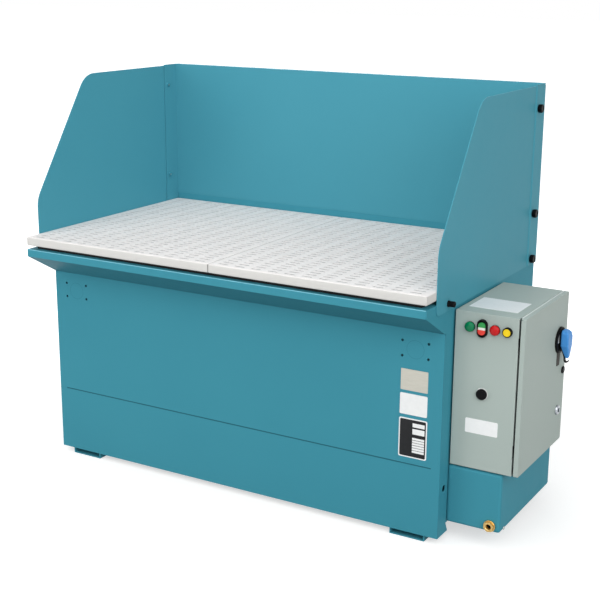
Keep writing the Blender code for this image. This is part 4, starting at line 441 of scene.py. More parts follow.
def metal(name, light, dull, rough, grain_mm, stretch=(1, 1, 1)):
    """A bare metal whose tone and gloss vary along its working marks, which a stretch draws out."""
    made, tree, place = bare_material(name)
    drawn = add(tree, "Mapping", {"Vector": place, "Scale": stretch})
    marks = add(tree, "TexNoise", {"Vector": drawn, "Scale": per_metre(grain_mm), "Detail": 4.0})
    tone = add(tree, "Mix", {"Factor": marks, 6: linear(light), 7: linear(dull)}, data_type="RGBA")
    gloss = add(tree, "MapRange", {"Value": marks, "To Min": rough - METAL_SPREAD,
                                   "To Max": rough + METAL_SPREAD})
    bump = add(tree, "Bump", {"Height": marks, "Strength": 0.12, "Distance": 0.0003})
    shader = add(tree, "BsdfPrincipled", {
        "Base Color": tone, "Metallic": 1.0, "Roughness": gloss, "Normal": bump})
    add(tree, "OutputMaterial", {"Surface": shader})
    return made


def clamp_seat(node, outward, length):
    """Where the head of a knob or bolt meets the sheet, how far its stud runs back from there, and
    the head's radius."""
    low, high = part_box(node)
    outer, inner = (high.x, low.x) if outward > 0 else (low.x, high.x)
    seat = (outer - outward * length, (low.y + high.y) / 2, (low.z + high.z) / 2)
    return seat, abs(outer - inner) - length, (high.y - low.y) / 2


# Glass-filled nylon as it leaves the mould: near black, with a fine even grain and rubbed places.
nylon, tree, place = bare_material("black_moulded_nylon")
grain = add(tree, "TexNoise", {"Vector": place, "Scale": per_metre(MOULD_MM), "Detail": 2.0})
rubbed = add(tree, "TexNoise", {"Vector": place, "Scale": per_metre(RUBBED_MM), "Detail": 3.0})
tone = add(tree, "Mix", {"Factor": rubbed, 6: linear(NYLON), 7: linear(NYLON_WORN)},
           data_type="RGBA")
bump = add(tree, "Bump", {"Height": grain, "Strength": 0.3, "Distance": 0.0003})
shader = add(tree, "BsdfPrincipled", {
    "Base Color": tone, "Roughness": 0.38, "Normal": bump, "Specular IOR Level": 0.06, "IOR": 1.53})
add(tree, "OutputMaterial", {"Surface": shader})

zinc = metal("zinc_plated_steel", ZINC, ZINC_DULL, 0.34, SPANGLE_MM)
for side, axis, outward in (("left", "-X", -1), ("right", "+X", 1)):
    for level_word in ("top", "middle", "low"):
        node = f"shield_knob_{side}_{level_word}"
        seat, reach, radius = clamp_seat(node, outward, KNOB_LENGTH)
        profile = ([(0, -reach), (STUD_RADIUS, -reach), (STUD_RADIUS, 0), (radius - 0.0025, 0),
                    (radius - 0.0012, 0.0012), (radius, 0.003)]
                   + rounded_rim(radius, KNOB_LENGTH, 0.0022)
                   + [(radius * 0.72, KNOB_LENGTH), (radius * 0.62, KNOB_LENGTH - 0.0012),
                      (0, KNOB_LENGTH - 0.0014)])
        knob = spun(f"fluted_{node}", profile, seat, axis, nylon, "cabinet", 60,
                    FLUTES, FLUTE_DEPTH)
        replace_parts(knob, node)
        stud = [(0, -reach - 0.0006), (STUD_END, -reach - 0.0006), (STUD_END, -reach + 0.0020),
                (0, -reach + 0.0020)]
        spun(f"stud_end_{side}_{level_word}", stud, seat, axis, zinc, "cabinet",
             20)
    node = f"front_bolt_{side}"
    seat, reach, _ = clamp_seat(node, outward, BOLT_LENGTH)
    profile = ([(0, -reach), (STUD_RADIUS, -reach), (STUD_RADIUS, 0), (0.0100, 0), (0.0100, 0.0035),
                (0.0088, 0.0045)] + rounded_rim(0.0092, BOLT_LENGTH, 0.0016)
               + [(0.0052, BOLT_LENGTH), (0.0046, BOLT_LENGTH - 0.0008),
                  (0.0042, BOLT_LENGTH - 0.006), (0, BOLT_LENGTH - 0.006)])
    bolt = spun(f"smooth_{node}", profile, seat, axis, nylon, "cabinet", 36)
    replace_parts(bolt, node)

# Filters and baffle
# Pleated spun-bond polyester cartridges hang below the surface, and a folded sheet of galvanised
# steel keeps sparks off them. The media is a soft off-white felt; the zinc shows a faint spangle.
MEDIA_WHITE, MEDIA_FIBRE, FIBRE_MM = "#E4E0D2", "#CFC9B8", 4

media = grained("spun_bond_filter_media", MEDIA_WHITE, MEDIA_FIBRE,
                {"Scale": per_metre(FIBRE_MM), "Detail": 8.0, "Roughness": 0.7, "Distortion": 1.2},
                (0.4, 0.0008), {"Roughness": 0.92, "Sheen Weight": 0.15})
dress(media, "filter_cartridge_front", "filter_cartridge_rear")
dress(zinc, "spark_baffle")

# Dust drawer
# A folded drawer of the cabinet's steel slides out at the left under the hopper. Its pull is a
# bent and zinc-plated rod, bright where hands keep it clean.
dress(teal_coat, "dust_drawer")
dress(zinc, "drawer_handle")

# Blower
# A sheet steel volute, a backward-curved wheel and a foot-mounted motor, sprayed in the motor
# maker's grey enamel. It is thicker and duller than powder, with the casting's grain under it.
ENAMEL, ENAMEL_WORN, CASTING_MM = "#63686B", "#55595C", 5

enamel = grained("grey_motor_enamel", ENAMEL, ENAMEL_WORN,
                 {"Scale": per_metre(CASTING_MM), "Detail": 5.0}, (0.35, 0.0008),
                 {"Roughness": 0.5})
dress(enamel, "blower_housing", "impeller", "motor_body")
dress(zinc, "motor_shaft", "motor_pedestal")

# Air tank
# A welded box tank for the filter pulses, coated like the cabinet. A brass bushing with a hexagon
# takes the shop's air line, and zinc-plated pipes lead off through the cabinet's side.
BRASS, BRASS_DARK, TURNED_MM = "#D9BC80", "#B08A48", 2.5
NECK, BORE, COLLAR, HEAD = 0.0115, 0.0085, 0.0192, 0.0172
HEXAGON, HEXAGON_TURN, COLLAR_FACE = 0.0150, math.radians(12), 0.0056
THREADS, THREAD_PITCH, THREAD_DEPTH, THREAD_START = 6, 0.0022, 0.0005, 0.0015
NECK_BACK = 0.004
TANK_SIDE, DRAIN_Y, DRAIN_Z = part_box("air_tank")[1].x, -0.219, 0.066

dress(teal_coat, "air_tank")
dress(zinc, "pulse_line_front", "pulse_line_rear")
brass = metal("turned_brass", BRASS, BRASS_DARK, 0.27, TURNED_MM, (1, 0.2, 1))

low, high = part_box("air_inlet_fitting")
middle = ((low.x + high.x) / 2, high.y - NECK_BACK, (low.z + high.z) / 2)
front = middle[1] - low.y
threads = [(BORE + (THREAD_DEPTH if half_turn % 2 else 0),
            front - THREAD_START - half_turn * THREAD_PITCH / 2)
           for half_turn in range(2 * THREADS)]
profile = ([(BORE, -NECK_BACK), (NECK, -NECK_BACK), (NECK, 0.0004), (0.0186, 0.0004),
            (COLLAR, 0.0010), (COLLAR, 0.0052), (0.0184, 0.0060), (HEAD, 0.0060),
            (HEAD, front - 0.0014), (0.0160, front - 0.0004), (0.0138, front),
            (BORE + 0.0013, front)] + threads + [(BORE, -NECK_BACK)])
bushing = spun("brass_air_inlet", profile, middle, "-Y", brass, "cabinet", 48)
# The hexagon: what stands beyond a flat, of the head in front of the collar, is laid on that flat.
spokes = np.zeros(len(bushing.data.vertices) * 3, np.float32)
bushing.data.vertices.foreach_get("co", spokes)
spokes = spokes.reshape(-1, 3).astype(float)
arm = spokes[:, [0, 2]] - np.array(middle)[[0, 2]]
reach = np.linalg.norm(arm, axis=1)
turn = np.arctan2(arm[:, 1], arm[:, 0]) + HEXAGON_TURN
flat = HEXAGON / np.cos((turn + math.pi / 6) % (math.pi / 3) - math.pi / 6)
head = (middle[1] - spokes[:, 1] > COLLAR_FACE) & (reach < (HEAD + COLLAR) / 2)
share = np.where(head, np.minimum(1, flat / np.maximum(reach, 1e-6)), 1)
spokes[:, [0, 2]] = np.array(middle)[[0, 2]] + arm * share[:, None]
bushing.data.vertices.foreach_set("co", spokes.astype(np.float32).ravel())
bushing.data.update()
bushing.data.set_sharp_from_angle(angle=math.radians(22))
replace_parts(bushing, "air_inlet_fitting")
# A small drain plug, zinc plated, low on the tank's outer side.
plug = [(0, 0), (0.0058, 0)] + rounded_rim(0.0058, 0.0030, 0.0012) + \
    [(0.0024, 0.0030), (0.0022, 0.0018), (0, 0.0018)]
spun("tank_drain_plug", plug, (TANK_SIDE, DRAIN_Y, DRAIN_Z), "+X", zinc, "cabinet",
     24)

# Control enclosure
# A bought-in wall box of sheet steel in a light grey polyester, with a smoother and duller film
# than the cabinet's. Inside are a zinc-plated plate, a contactor and a transformer in black nylon.
GREY, GREY_DEEP = "#A9B5B0", "#A3AFAA"
BOX_FOLD_MM = 1.4
EDGE_HIGHLIGHT, EDGE_HIGHLIGHT_DEEP = "#D3DAD8", "#CBD3D0"
EDGE_HEIGHT, EDGE_REACH, EDGE_SHORT = 0.0024, 0.0040, 0.022
EDGE_BACK, EDGE_DOWN = 0.0008, 0.0002
# The gap beside the door is painted black as shade. It is a little over a pixel wide in the
# picture, so the painted shade runs on for a few millimetres over the box's rim.
GAP_SHADE_BLACK, RIM_DARK, DOOR_DEPTH = "#0B0C0C", 0.0036, 0.0142
BOX_LOW, BOX_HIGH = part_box("enclosure_box")
DOOR_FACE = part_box("enclosure_door")[1].x


def gap_shade(tree, place):
    """The painted shade in the gap between the box's rim and the door, over the hinge's knuckles
    too.
    """
    x = add(tree, "SeparateXYZ", {"Vector": place}).outputs["X"]
    past_rim = add(tree, "Math", {0: x, 1: BOX_HIGH.x - RIM_DARK}, operation="GREATER_THAN")
    short_of_door = add(tree, "Math", {0: x, 1: DOOR_FACE - DOOR_DEPTH}, operation="LESS_THAN")
    return add(tree, "Math", {0: past_rim, 1: short_of_door}, operation="MULTIPLY")


dress(powder_coat("grey_powder_coat", GREY, GREY_DEEP, gloss=0.46,
                  marks=((gap_shade, GAP_SHADE_BLACK),)), "enclosure_box", "enclosure_door")
roll_folds(BOX_FOLD_MM, "enclosure_box", "enclosure_door")
dress(zinc, "sub_plate")
dress(nylon, "contactor", "transformer", "disconnect_switch")


def inward_steps(outline):
    """For each corner of a closed outline, the step that moves both its sides in by one unit: the
    sum of the two sides' inward normals over one plus their dot product."""
    ahead = np.roll(outline, -1, 0) - outline
    ahead /= np.linalg.norm(ahead, axis=1)[:, None]
    normal = np.stack([-ahead[:, 1], ahead[:, 0]], -1)
    before = np.roll(normal, 1, 0)
    return (normal + before) / (1 + (normal * before).sum(1))[:, None]


def lidded(rows, count):
    """The quads between the rows, with a flat face over the first row and one over the last."""
    last = (rows - 1) * count
    return [strips(rows, count), [list(range(count)), list(range(last, last + count))]]


def pressed(name, outline, profile, place, axis, material, body):
    """A piece from an outline drawn across an axis: each (inset, height) of the profile is one more
    loop of it, moved in by the inset, and the first and last loops are closed by flat faces."""
    across, up, along = axes_of(axis)
    outline = np.array(outline, float)
    inset, height = np.array(profile, float).T
    loops = outline[None] + inset[:, None, None] * inward_steps(outline)[None]
    points = (np.array(place) + loops[..., :1] * across + loops[..., 1:] * up
              + height[:, None, None] * along)
    return piece(name, points, lidded(len(profile), len(outline)), material, body)


def rounded_rectangle(width, height, radius, steps=5):
    """Outline points of a rectangle round the origin, its corners arcs, counter-clockwise."""
    lean = np.radians(np.linspace(0, 90, steps + 1))
    turns = np.concatenate([lean - math.pi / 2, lean, lean + math.pi / 2, lean + math.pi])
    signs = np.repeat([[1, -1], [1, 1], [-1, 1], [-1, -1]], steps + 1, axis=0)
    centre = signs * (np.array([width, height]) / 2 - radius)
    return centre + radius * np.stack([np.cos(turns), np.sin(turns)], -1)


# The raised edge above the door keeps drips out of the gap; its coat is painted pale as a
# highlight.
edge = rounded_rectangle(BOX_HIGH.y - BOX_LOW.y - EDGE_SHORT, EDGE_HEIGHT, EDGE_HEIGHT / 3)
pressed("enclosure_drip_edge", edge, [(0, 0), (0, EDGE_REACH)],
        (BOX_HIGH.x - EDGE_BACK, (BOX_LOW.y + BOX_HIGH.y) / 2, BOX_HIGH.z - EDGE_DOWN), "+X",
        powder_coat("grey_powder_coat_edge_highlight", EDGE_HIGHLIGHT, EDGE_HIGHLIGHT_DEEP), "cabinet")

# Controls
# Two domed pilot lamps, a double push button and a round reset button, all of the common 22 mm
# kind: coloured acrylic and ABS caps in black nylon bezels, glossy as they leave the mould.
GREEN, RED = ("#017E50", "#026E45"), ("#C8181B", "#B01216")
START_GREEN, STOP_RED = ("#3A9A52", "#34904B"), ("#E3473C", "#D63F35")
YELLOW, LENS_WHITE = ("#F1D428", "#EAC414"), ("#E4E5DF", "#DCDCD3")
FLOW_MM = 14
BEZEL_STANDS, ARC_PRESSED = 0.012, 0.92
WALL_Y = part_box("reset_bezel")[0].y + BEZEL_STANDS
LENS_RADIUS, LENS_SKIRT, LENS_RISE = 0.0156, 0.0075, 0.0085
# What lies on the sheet stands 0.3 mm off it, so that no two faces share a plane.
HOUSING_Y = WALL_Y - 0.0003


def moulded(name, tones, gloss, glow=0.0):
    """Coloured gloss plastic: an even tone with a trace of flow in it, under a hard clear skin."""
    return grained(name, *tones, {"Scale": per_metre(FLOW_MM), "Detail": 2.0}, (0.05, 0.0004),
                   {"Roughness": gloss, "Subsurface Weight": glow,
                    "Subsurface Radius": (0.002, 0.002, 0.002), "Specular IOR Level": 0.18,
                    "IOR": 1.49})


def middle_of(node):
    """The middle of a CAD node's box."""
    return tuple((low + high) / 2 for low, high in zip(*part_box(node)))


for colour, tones in (("green", GREEN), ("red", RED)):
    node = f"pilot_{colour}"
    x, _, z = middle_of(node)
    dome = [(LENS_RADIUS * math.cos(lean), LENS_SKIRT + LENS_RISE * math.sin(lean))
            for lean in np.radians(np.linspace(0, 90, 9))]
    lens = spun(f"{node}_lens", [(0, 0.004), (LENS_RADIUS, 0.004)] + dome, (x, WALL_Y, z), "-Y",
                moulded(f"{colour}_acrylic_lens", tones, 0.13, 0.05), "cabinet",
                48)
    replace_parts(lens, node)
    bezel = [(0, 0.0003), (0.0160, 0.0003), (0.0160, 0.0032), (0.0156, 0.0038), (0.0130, 0.0038),
             (0, 0.0038)]
    spun(f"{node}_bezel", bezel, (x, WALL_Y, z), "-Y", nylon, "cabinet", 48)

housing_x, _, housing_z = middle_of("button_housing")
rim_profile = [(0, 0), (0, 0.0085), (0.0005, 0.0100), (0.0014, 0.0106), (0.0026, 0.0106),
               (0.0033, 0.0098), (0.0036, 0.0022)]
housing = pressed("double_button_housing", rounded_rectangle(0.032, 0.056, 0.0158, 8), rim_profile,
                  (housing_x, HOUSING_Y, housing_z), "-Y", nylon, "cabinet")
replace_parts(housing, "button_housing")


def pad_outline(width, height, side):
    """A push button's cap from the front: square towards the middle and half round at the far end,
    its arc pressed a little flat."""
    radius, flattened = width / 2, width / 2 * ARC_PRESSED
    lean = np.linspace(0, math.pi, 13) + (0 if side > 0 else math.pi)
    arc = np.stack([radius * np.cos(lean),
                    side * (height / 2 - flattened) + flattened * np.sin(lean)], -1)
    base = np.array([[-radius, -height / 2], [radius, -height / 2]]) * side
    return np.concatenate([arc, base])


for name, side, top, colour, tones in (("start", 1, 0.0106, "green", START_GREEN),
                                       ("stop", -1, 0.0130, "red", STOP_RED)):
    x, _, z = middle_of(f"{name}_button")
    cap = pressed(f"{name}_button_cap", pad_outline(0.0234, 0.0160, side),
                  [(0, 0.0066), (0, top - 0.001), (0.0004, top - 0.0003), (0.0012, top)],
                  (x, HOUSING_Y, z), "-Y", moulded(f"{name}_cap_plastic", tones, 0.34), name)
    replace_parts(cap, f"{name}_button")
pressed("double_button_lamp", rounded_rectangle(0.0226, 0.0080, 0.0012),
        [(0, 0.0020), (0, 0.0108), (0.0008, 0.0116)], (housing_x, HOUSING_Y, housing_z), "-Y",
        moulded("white_acrylic_lens", LENS_WHITE, 0.2, 0.1), "cabinet")

x, _, z = middle_of("reset_button")
bezel = [(0, 0.0003), (0.0150, 0.0003), (0.0150, 0.0085)] + rounded_rim(0.0146, 0.0118, 0.0015) + \
    [(0.0124, 0.0118), (0.0119, 0.0112), (0.0118, 0.0042), (0, 0.0042)]
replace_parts(spun("reset_button_bezel", bezel, (x, WALL_Y, z), "-Y", nylon, "cabinet",
                 48), "reset_bezel")
cap = [(0, 0.0086), (0.0115, 0.0086)] + rounded_rim(0.0115, 0.0132, 0.0010) + \
    [(0.0050, 0.0129), (0, 0.0128)]
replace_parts(spun("reset_button_cap", cap, (x, WALL_Y, z), "-Y",
                 moulded("yellow_cap_plastic", YELLOW, 0.28), "reset", 48),
            "reset_button")

x, _, z = middle_of("front_plug")
washer = [(0.0120, 0.0003), (0.0192, 0.0003), (0.0192, 0.0012), (0.0186, 0.0016),
          (0.0120, 0.0016), (0.0120, 0.0003)]
spun("front_plug_washer", washer, (x, WALL_Y, z), "-Y", zinc, "cabinet", 48)
plug = [(0, 0.0003), (0.0170, 0.0016), (0.0175, 0.0030)] + rounded_rim(0.0173, 0.0096, 0.0022) + \
    [(0.0130, 0.0096), (0.0122, 0.0086), (0, 0.0084)]
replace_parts(spun("front_plug_cap", plug, (x, WALL_Y, z), "-Y", nylon, "cabinet",
                 48), "front_plug")

# Door furniture
# A black plug, and a quarter-turn latch: a bright die-cast head with a slot across it, whose cam
# goes behind the box's rim. Both sit in holes punched near the door's free edge.
CHROME, CHROME_DULL, POLISH_MM = "#B2B7BC", "#8C9196", 4
LATCH_DROP, CAM_DROP = 0.0145, 0.018

_, y, z = middle_of("door_plug")
plug = [(0, 0.0003), (0.0118, 0.0003)] + rounded_rim(0.0120, 0.0056, 0.0024) + \
    [(0.0050, 0.0060), (0, 0.0060)]
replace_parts(spun("door_plug_cap", plug, (DOOR_FACE, y, z), "+X", nylon, "door",
                 40), "door_plug")

chrome = metal("die_cast_chrome", CHROME, CHROME_DULL, 0.18, POLISH_MM)
low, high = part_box("door_latch")
cam_x, latch_y, latch_z = low.x, (low.y + high.y) / 2, high.z - LATCH_DROP
place = (DOOR_FACE, latch_y, latch_z)
head = [(0, 0.0003), (0.0165, 0.0003), (0.0165, 0.0016)] + \
    rounded_rim(0.0158, 0.0078, 0.0040, 6) + \
    [(0.0080, 0.0078), (0.0076, 0.0072), (0.0074, 0.0046), (0, 0.0046)]
latch = spun("latch_head", head, place, "+X", chrome, "latch", 48)
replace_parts(latch, "door_latch")
pressed("latch_bar", rounded_rectangle(0.0040, 0.0138, 0.0008),
        [(0, 0.0035), (0, 0.0112), (0.0006, 0.0118)], place, "+X", chrome, "latch")
pressed("latch_cam", rounded_rectangle(0.014, 0.054, 0.004), [(0, 0), (0, 0.003)],
        (cam_x, latch_y, latch_z - CAM_DROP), "+X", zinc, "latch")
neck = [(0, 0), (0.0085, 0), (0.0085, DOOR_FACE - cam_x), (0, DOOR_FACE - cam_x)]
spun("latch_neck", neck, (cam_x, latch_y, latch_z), "+X", zinc, "latch", 32)

# Main switch
# The door-mounted disconnect: a black nylon ring round a pale disc, and a blue moulded grip with
# flat sides on a black back part, which runs down to a hook for a padlock.
BLUE, DISC_PALE, LEVER_SHADOW_GREYS = ("#4A93D8", "#4189CE"), ("#CDD1D4", "#BFC4C8"), ("#3E3D3A", "#4B4945")
SPINDLE = (0.065, 0.614)
RING_FACE = DOOR_FACE + 0.008
RING_RADIUS, RING_INNER, SPINDLE_HOLE = 0.0430, 0.0345, 0.0072
BODY_SIDE, DOOR_SHEET = 0.0560, 0.0019

switch_place = (DOOR_FACE, *SPINDLE)
ring = [(SPINDLE_HOLE, 0.0003), (RING_RADIUS, 0.0003), (RING_RADIUS, 0.0040)] + \
    rounded_rim(RING_RADIUS, 0.0078, 0.0020) + \
    [(RING_INNER, 0.0078), (RING_INNER, 0.0040), (SPINDLE_HOLE, 0.0040), (SPINDLE_HOLE, 0.0003)]
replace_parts(spun("main_switch_ring", ring, switch_place, "+X", nylon, "door", 72),
            "disconnect_switch")
body_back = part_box("disconnect_switch")[0].x
pressed("main_switch_body", rounded_rectangle(BODY_SIDE, BODY_SIDE, 0.0030),
        [(0.0010, 0), (0, 0.0010), (0, DOOR_FACE - DOOR_SHEET - body_back)],
        (body_back, *SPINDLE), "+X", nylon, "door")
disc = [(0.0075, 0.0040), (RING_INNER - 0.0005, 0.0040), (RING_INNER - 0.0005, 0.0062),
        (0.0075, 0.0062), (0.0075, 0.0040)]
spun("main_switch_disc", disc, switch_place, "+X",
     moulded("pale_grey_switch_disc", DISC_PALE, 0.4), "door", 72)
lean = np.radians(np.linspace(188, 352, 19))
cover = (RING_INNER - 0.0008) * np.stack([np.cos(lean), np.sin(lean)], -1)
pressed("main_switch_cover", cover, [(0, 0.0062), (0, 0.0070), (0.0004, 0.0074)], switch_place,
        "+X", nylon, "door")
# A thin dark grey sheet below the ring is the lever's painted shadow on the door.
shadow_outline = rounded_rectangle(0.0260, 0.0640, 0.0060) + np.array([-0.0025, -0.0540])
pressed("main_switch_painted_shadow", shadow_outline, [(0, 0), (0, 0.0012), (0.0005, 0.0018)], switch_place, "+X",
        moulded("painted_lever_shadow", LEVER_SHADOW_GREYS, 0.7), "door")

# The grip is a loft along Z of eight-cornered rows. Each line below is one row in millimetres: its
# height above the spindle, its half width, the distance of its inner and its outer face, its bevel.
GRIP = np.array([(36, 9, 6, 15, 1.5), (35, 15, 3.6, 19, 2.5), (27, 21, 3.2, 26, 3),
                 (14, 22.5, 3.2, 28.8, 3), (-14, 22, 3.2, 28.8, 3), (-34, 13, 8.5, 28.6, 3),
                 (-49, 7.5, 13.5, 27.6, 2.5), (-54, 6.0, 15.2, 26.2, 2),
                 (-56, 3.5, 17.5, 23.5, 1)]) / 1000
rise, half, inner, outer, cut = GRIP.T[:, :, None]
signs_y = np.array([-1, -1, 1, 1, 1, 1, -1, -1])
signs_x = np.array([-1, -1, -1, -1, 1, 1, 1, 1])
cut_y = np.array([0, 1, 1, 0, 0, 1, 1, 0])
points = np.zeros((len(GRIP), 8, 3))
points[..., 0] = (RING_FACE + (outer + inner) / 2
                  + signs_x * ((outer - inner) / 2 - cut * (1 - cut_y)))
points[..., 1] = SPINDLE[0] + signs_y * (half - cut * cut_y)
points[..., 2] = SPINDLE[1] + rise
grip = piece("main_switch_grip", points, lidded(len(GRIP), 8),
             moulded("blue_moulded_grip", BLUE, 0.4), "lever", 12)
rounding = grip.modifiers.new("moulded edges", "BEVEL")
rounding.width = 0.0012
rounding.segments = 3
rounding.limit_method = "ANGLE"
rounding.angle_limit = math.radians(14)
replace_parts(grip, "disconnect_lever")
back_plate = np.array([(-13, 37), (-23.5, 28), (-23.5, -15), (-12, -34), (12, -34), (23.5, -15),
                       (23.5, 28), (13, 37)]) / 1000
pressed("main_switch_back", back_plate, [(0.0006, 0.0002), (0, 0.0008), (0, 0.0030)],
        (RING_FACE, *SPINDLE), "+X", nylon, "lever")
hook = np.array([(0.6, -12), (0.6, -18), (5, -36), (10.5, -52), (11.5, -65), (15, -70.6),
                 (20, -71.6), (25, -69), (28, -63.5), (25.5, -62), (22.5, -66.2), (19.5, -67.8),
                 (16.9, -66.5), (15.4, -62), (15.3, -54), (13.4, -49), (8.4, -34), (3.1, -15),
                 (3.1, -12)]) / 1000
pressed("main_switch_hook", hook, [(0.0008, -0.0060), (0, -0.0052), (0, 0.0052), (0.0008, 0.0060)],
        (RING_FACE, *SPINDLE), "-Y", nylon, "lever")

# Plates
# Bare plates: one of brushed aluminium, plain ones of white vinyl, and a black data plate with
# empty fields. Each is thin, with rounded corners, and stuck to a flat sheet.
VINYL, PLATE_BLACK = ("#EDEEEE", "#E3E5E5"), ("#17181A", "#1F2023")
PLATE_METAL, BRUSHED_MM, BRUSHED_LONG = ("#B7B5AC", "#A6A49B"), 1.5, (0.05, 1, 1)
FRONT_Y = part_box("front_panel")[0].y
PLATE_UPRIGHT, PLATE_EASE = 0.6, 0.0003
# The data plate's fields, by their lower and upper edges.
FIELDS = [(0.379, 0.392), (0.3555, 0.3735)] + [(0.3370 - row * 0.0085, 0.3440 - row * 0.0085)
                                              for row in range(6)]


def flat_plate(name, low_corner, high_corner, thickness, corner, face, axis, material, slot):
    """A thin plate with eased edges on a flat face, between two corners in that face's plane."""
    across, up, along = axes_of(axis)
    low_corner, high_corner = np.array(low_corner), np.array(high_corner)
    middle = (low_corner + high_corner) / 2
    size = np.abs(high_corner - low_corner)
    place = face * np.abs(along) + (middle[0] * np.abs(across) + middle[1] * np.abs(up))
    return pressed(name, rounded_rectangle(*size, corner),
                   [(0, 0), (0, thickness * PLATE_UPRIGHT), (PLATE_EASE, thickness)], place,
                   axis, material, "cabinet")


white = (moulded("plain_white_vinyl", VINYL, 0.35), "white_slotted_plastic")
bare_metal = (metal("brushed_aluminium_plate", *PLATE_METAL, 0.42, BRUSHED_MM, BRUSHED_LONG),
              "zinc_plated_steel")
black = (moulded("black_plate_enamel", PLATE_BLACK, 0.35), "black_plastic")
flat_plate("name_plate_blank", (0.507, 0.496), (0.599, 0.565), 0.0010, 0.002, FRONT_Y, "-Y",
           *bare_metal)
flat_plate("notice_plate_blank", (0.506, 0.417), (0.599, 0.486), 0.0006, 0.004, FRONT_Y, "-Y",
           *white)
flat_plate("data_plate_border", (0.505, 0.276), (0.601, 0.406), 0.0006, 0.006, FRONT_Y, "-Y",
           *white)
flat_plate("data_plate_face", (0.509, 0.280), (0.597, 0.402), 0.0004, 0.004, FRONT_Y - 0.0006,
           "-Y", *black)
for row, (base, top) in enumerate(FIELDS):
    flat_plate(f"data_plate_field_{row}", (0.552, base), (0.593, top), 0.0002, 0.0008,
               FRONT_Y - 0.0010, "-Y", *white)
flat_plate("enclosure_notice_blank", (0.700, 0.374), (0.806, 0.421), 0.0006, 0.004, BOX_LOW.y,
           "-Y", *white)
flat_plate("enclosure_top_blank", (0.673, -0.200), (0.829, -0.078), 0.0006, 0.002, BOX_HIGH.z,
           "+Z", *white)

# Rear screws
# Pan-head screws, zinc plated, hold the service cover to the rear panel all the way round, so that
# the cartridges can be drawn out at the back.
SCREW_INSET, SCREW_RADIUS, SCREW_HEIGHT = 0.0075, 0.0045, 0.0027
ACROSS, UP = 6, 4

low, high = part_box("access_panel")
columns = np.linspace(low.x + SCREW_INSET, high.x - SCREW_INSET, ACROSS)
rows = np.linspace(low.z + SCREW_INSET, high.z - SCREW_INSET, UP)
places = [(x, z) for x in columns for z in (rows[0], rows[-1])] + \
    [(x, z) for x in (columns[0], columns[-1]) for z in rows[1:-1]]
pan_head = [(0, 0), (0.0042, 0)] + rounded_rim(SCREW_RADIUS, SCREW_HEIGHT, 0.0018) + \
    [(0.0012, SCREW_HEIGHT), (0.0010, 0.0014), (0, 0.0014)]
for number, (x, z) in enumerate(places):
    spun(f"cover_screw_{number:02d}", pan_head, (x, high.y, z), "+Y", zinc, "cabinet",
         20)

# Room
# A pale studio: a wide floor, large soft lamps in front, at both sides, behind and overhead, and
# a broad low sun from the right. They stand near enough that the table's foot is a little darker.
# The floor and the world show white to the camera and in gloss, and the floor keeps the shadow.
FLOOR_TONE, FLOOR_FLECK, FLECK_MM = "#C9C9C8", "#C4C4C3", 900
FLOOR_CORNERS = [(-40, -40, 0), (40, -40, 0), (40, 40, 0), (-40, 40, 0)]
FLOOR_LIFT, LIFT_NEAR, LIFT_FAR = 0.58, 1.0, 2.3
WHITE, AMBIENT = "#FFFFFF", 0.28
# Each lamp's power in watts, its side, where it stands and what it is turned to, in metres.
LAMPS = {"front": (42, 2.6, (0.9, -3.2, 2.7), (-0.1, 0, 0.7)),
         "side": (34, 2.2, (3.4, -1.6, 2.2), (0, 0, 0.7)),
         "overhead": (40, 2.6, (-0.1, -0.5, 3.6), (-0.1, -0.1, 0.8)),
         "left": (40, 2.2, (-2.2, -3.0, 2.0), (-0.2, 0, 0.7)),
         "rear": (75, 2.4, (-2.3, 3.3, 2.3), (-0.1, 0, 0.7))}
SUN_STRENGTH, SUN_DIRECTION, SUN_DEGREES = 0.95, (0.75, -0.70, 0.55), 60


def hang(name, kind, power, away_from):
    """A lamp of that kind and power, its back turned along a direction and its light against it."""
    lamp = put_in_scene(name, bpy.data.lights.new(name, kind))
    lamp.data.energy = power
    lamp.rotation_mode = "QUATERNION"
    lamp.rotation_quaternion = away_from.to_track_quat("Z", "Y")
    return lamp


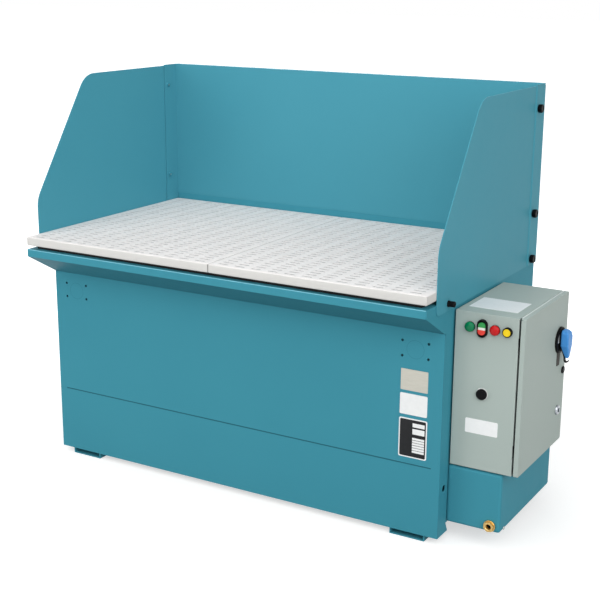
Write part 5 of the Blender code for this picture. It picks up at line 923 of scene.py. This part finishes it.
def shows_white(tree):
    """1 for a ray from the camera or one that gloss or glass sends on, and 0 for others."""
    rays = add(tree, "LightPath")
    seen = 0.0
    for way in ("Is Camera Ray", "Is Glossy Ray", "Is Transmission Ray"):
        seen = add(tree, "Math", {0: seen, 1: rays.outputs[way]}, operation="MAXIMUM")
    return seen


floor_mesh = bpy.data.meshes.new("floor")
floor_mesh.from_pydata(FLOOR_CORNERS, [], [[0, 1, 2, 3]])
put_in_scene("floor", floor_mesh)
floor_paint, tree, place = bare_material("studio_floor")
fleck = add(tree, "TexNoise", {"Vector": place, "Scale": per_metre(FLECK_MM), "Detail": 2.0})
tone = add(tree, "Mix", {"Factor": fleck, 6: linear(FLOOR_TONE), 7: linear(FLOOR_FLECK)},
           data_type="RGBA")
paint = add(tree, "BsdfDiffuse", {"Color": tone})
# The lamps fade over a few metres, so the lift grows with the distance from the table until the
# floor is white.
away = add(tree, "VectorMath", {0: place}, operation="LENGTH")
lift = add(tree, "MapRange", {
    "Value": away, "From Min": LIFT_NEAR, "From Max": LIFT_FAR, "To Min": FLOOR_LIFT,
    "To Max": 1.0}, interpolation_type="SMOOTHSTEP")
glow = add(tree, "Emission", {"Color": linear(WHITE), "Strength": lift})
lifted = add(tree, "AddShader", {0: paint, 1: glow})
mixed = add(tree, "MixShader", {0: shows_white(tree), 1: paint, 2: lifted})
add(tree, "OutputMaterial", {"Surface": mixed})
floor_mesh.materials.append(floor_paint)

world = bpy.data.worlds.new("studio")
bpy.context.scene.world = world
world.use_nodes = True
sky = world.node_tree
sky.nodes.clear()
dim = add(sky, "Background", {"Color": linear(WHITE), "Strength": AMBIENT})
bright = add(sky, "Background", {"Color": linear(WHITE), "Strength": 1.0})
mixed = add(sky, "MixShader", {0: shows_white(sky), 1: dim, 2: bright})
add(sky, "OutputWorld", {"Surface": mixed})

for name, (power, side, stand, aim) in LAMPS.items():
    lamp = hang(f"lamp_{name}", "AREA", power, Vector(stand) - Vector(aim))
    lamp.location = stand
    lamp.data.size = side
    lamp.visible_camera = False
sun = hang("sun", "SUN", SUN_STRENGTH, Vector(SUN_DIRECTION))
sun.data.angle = math.radians(SUN_DEGREES)

bpy.context.scene.view_settings.view_transform = "Standard"
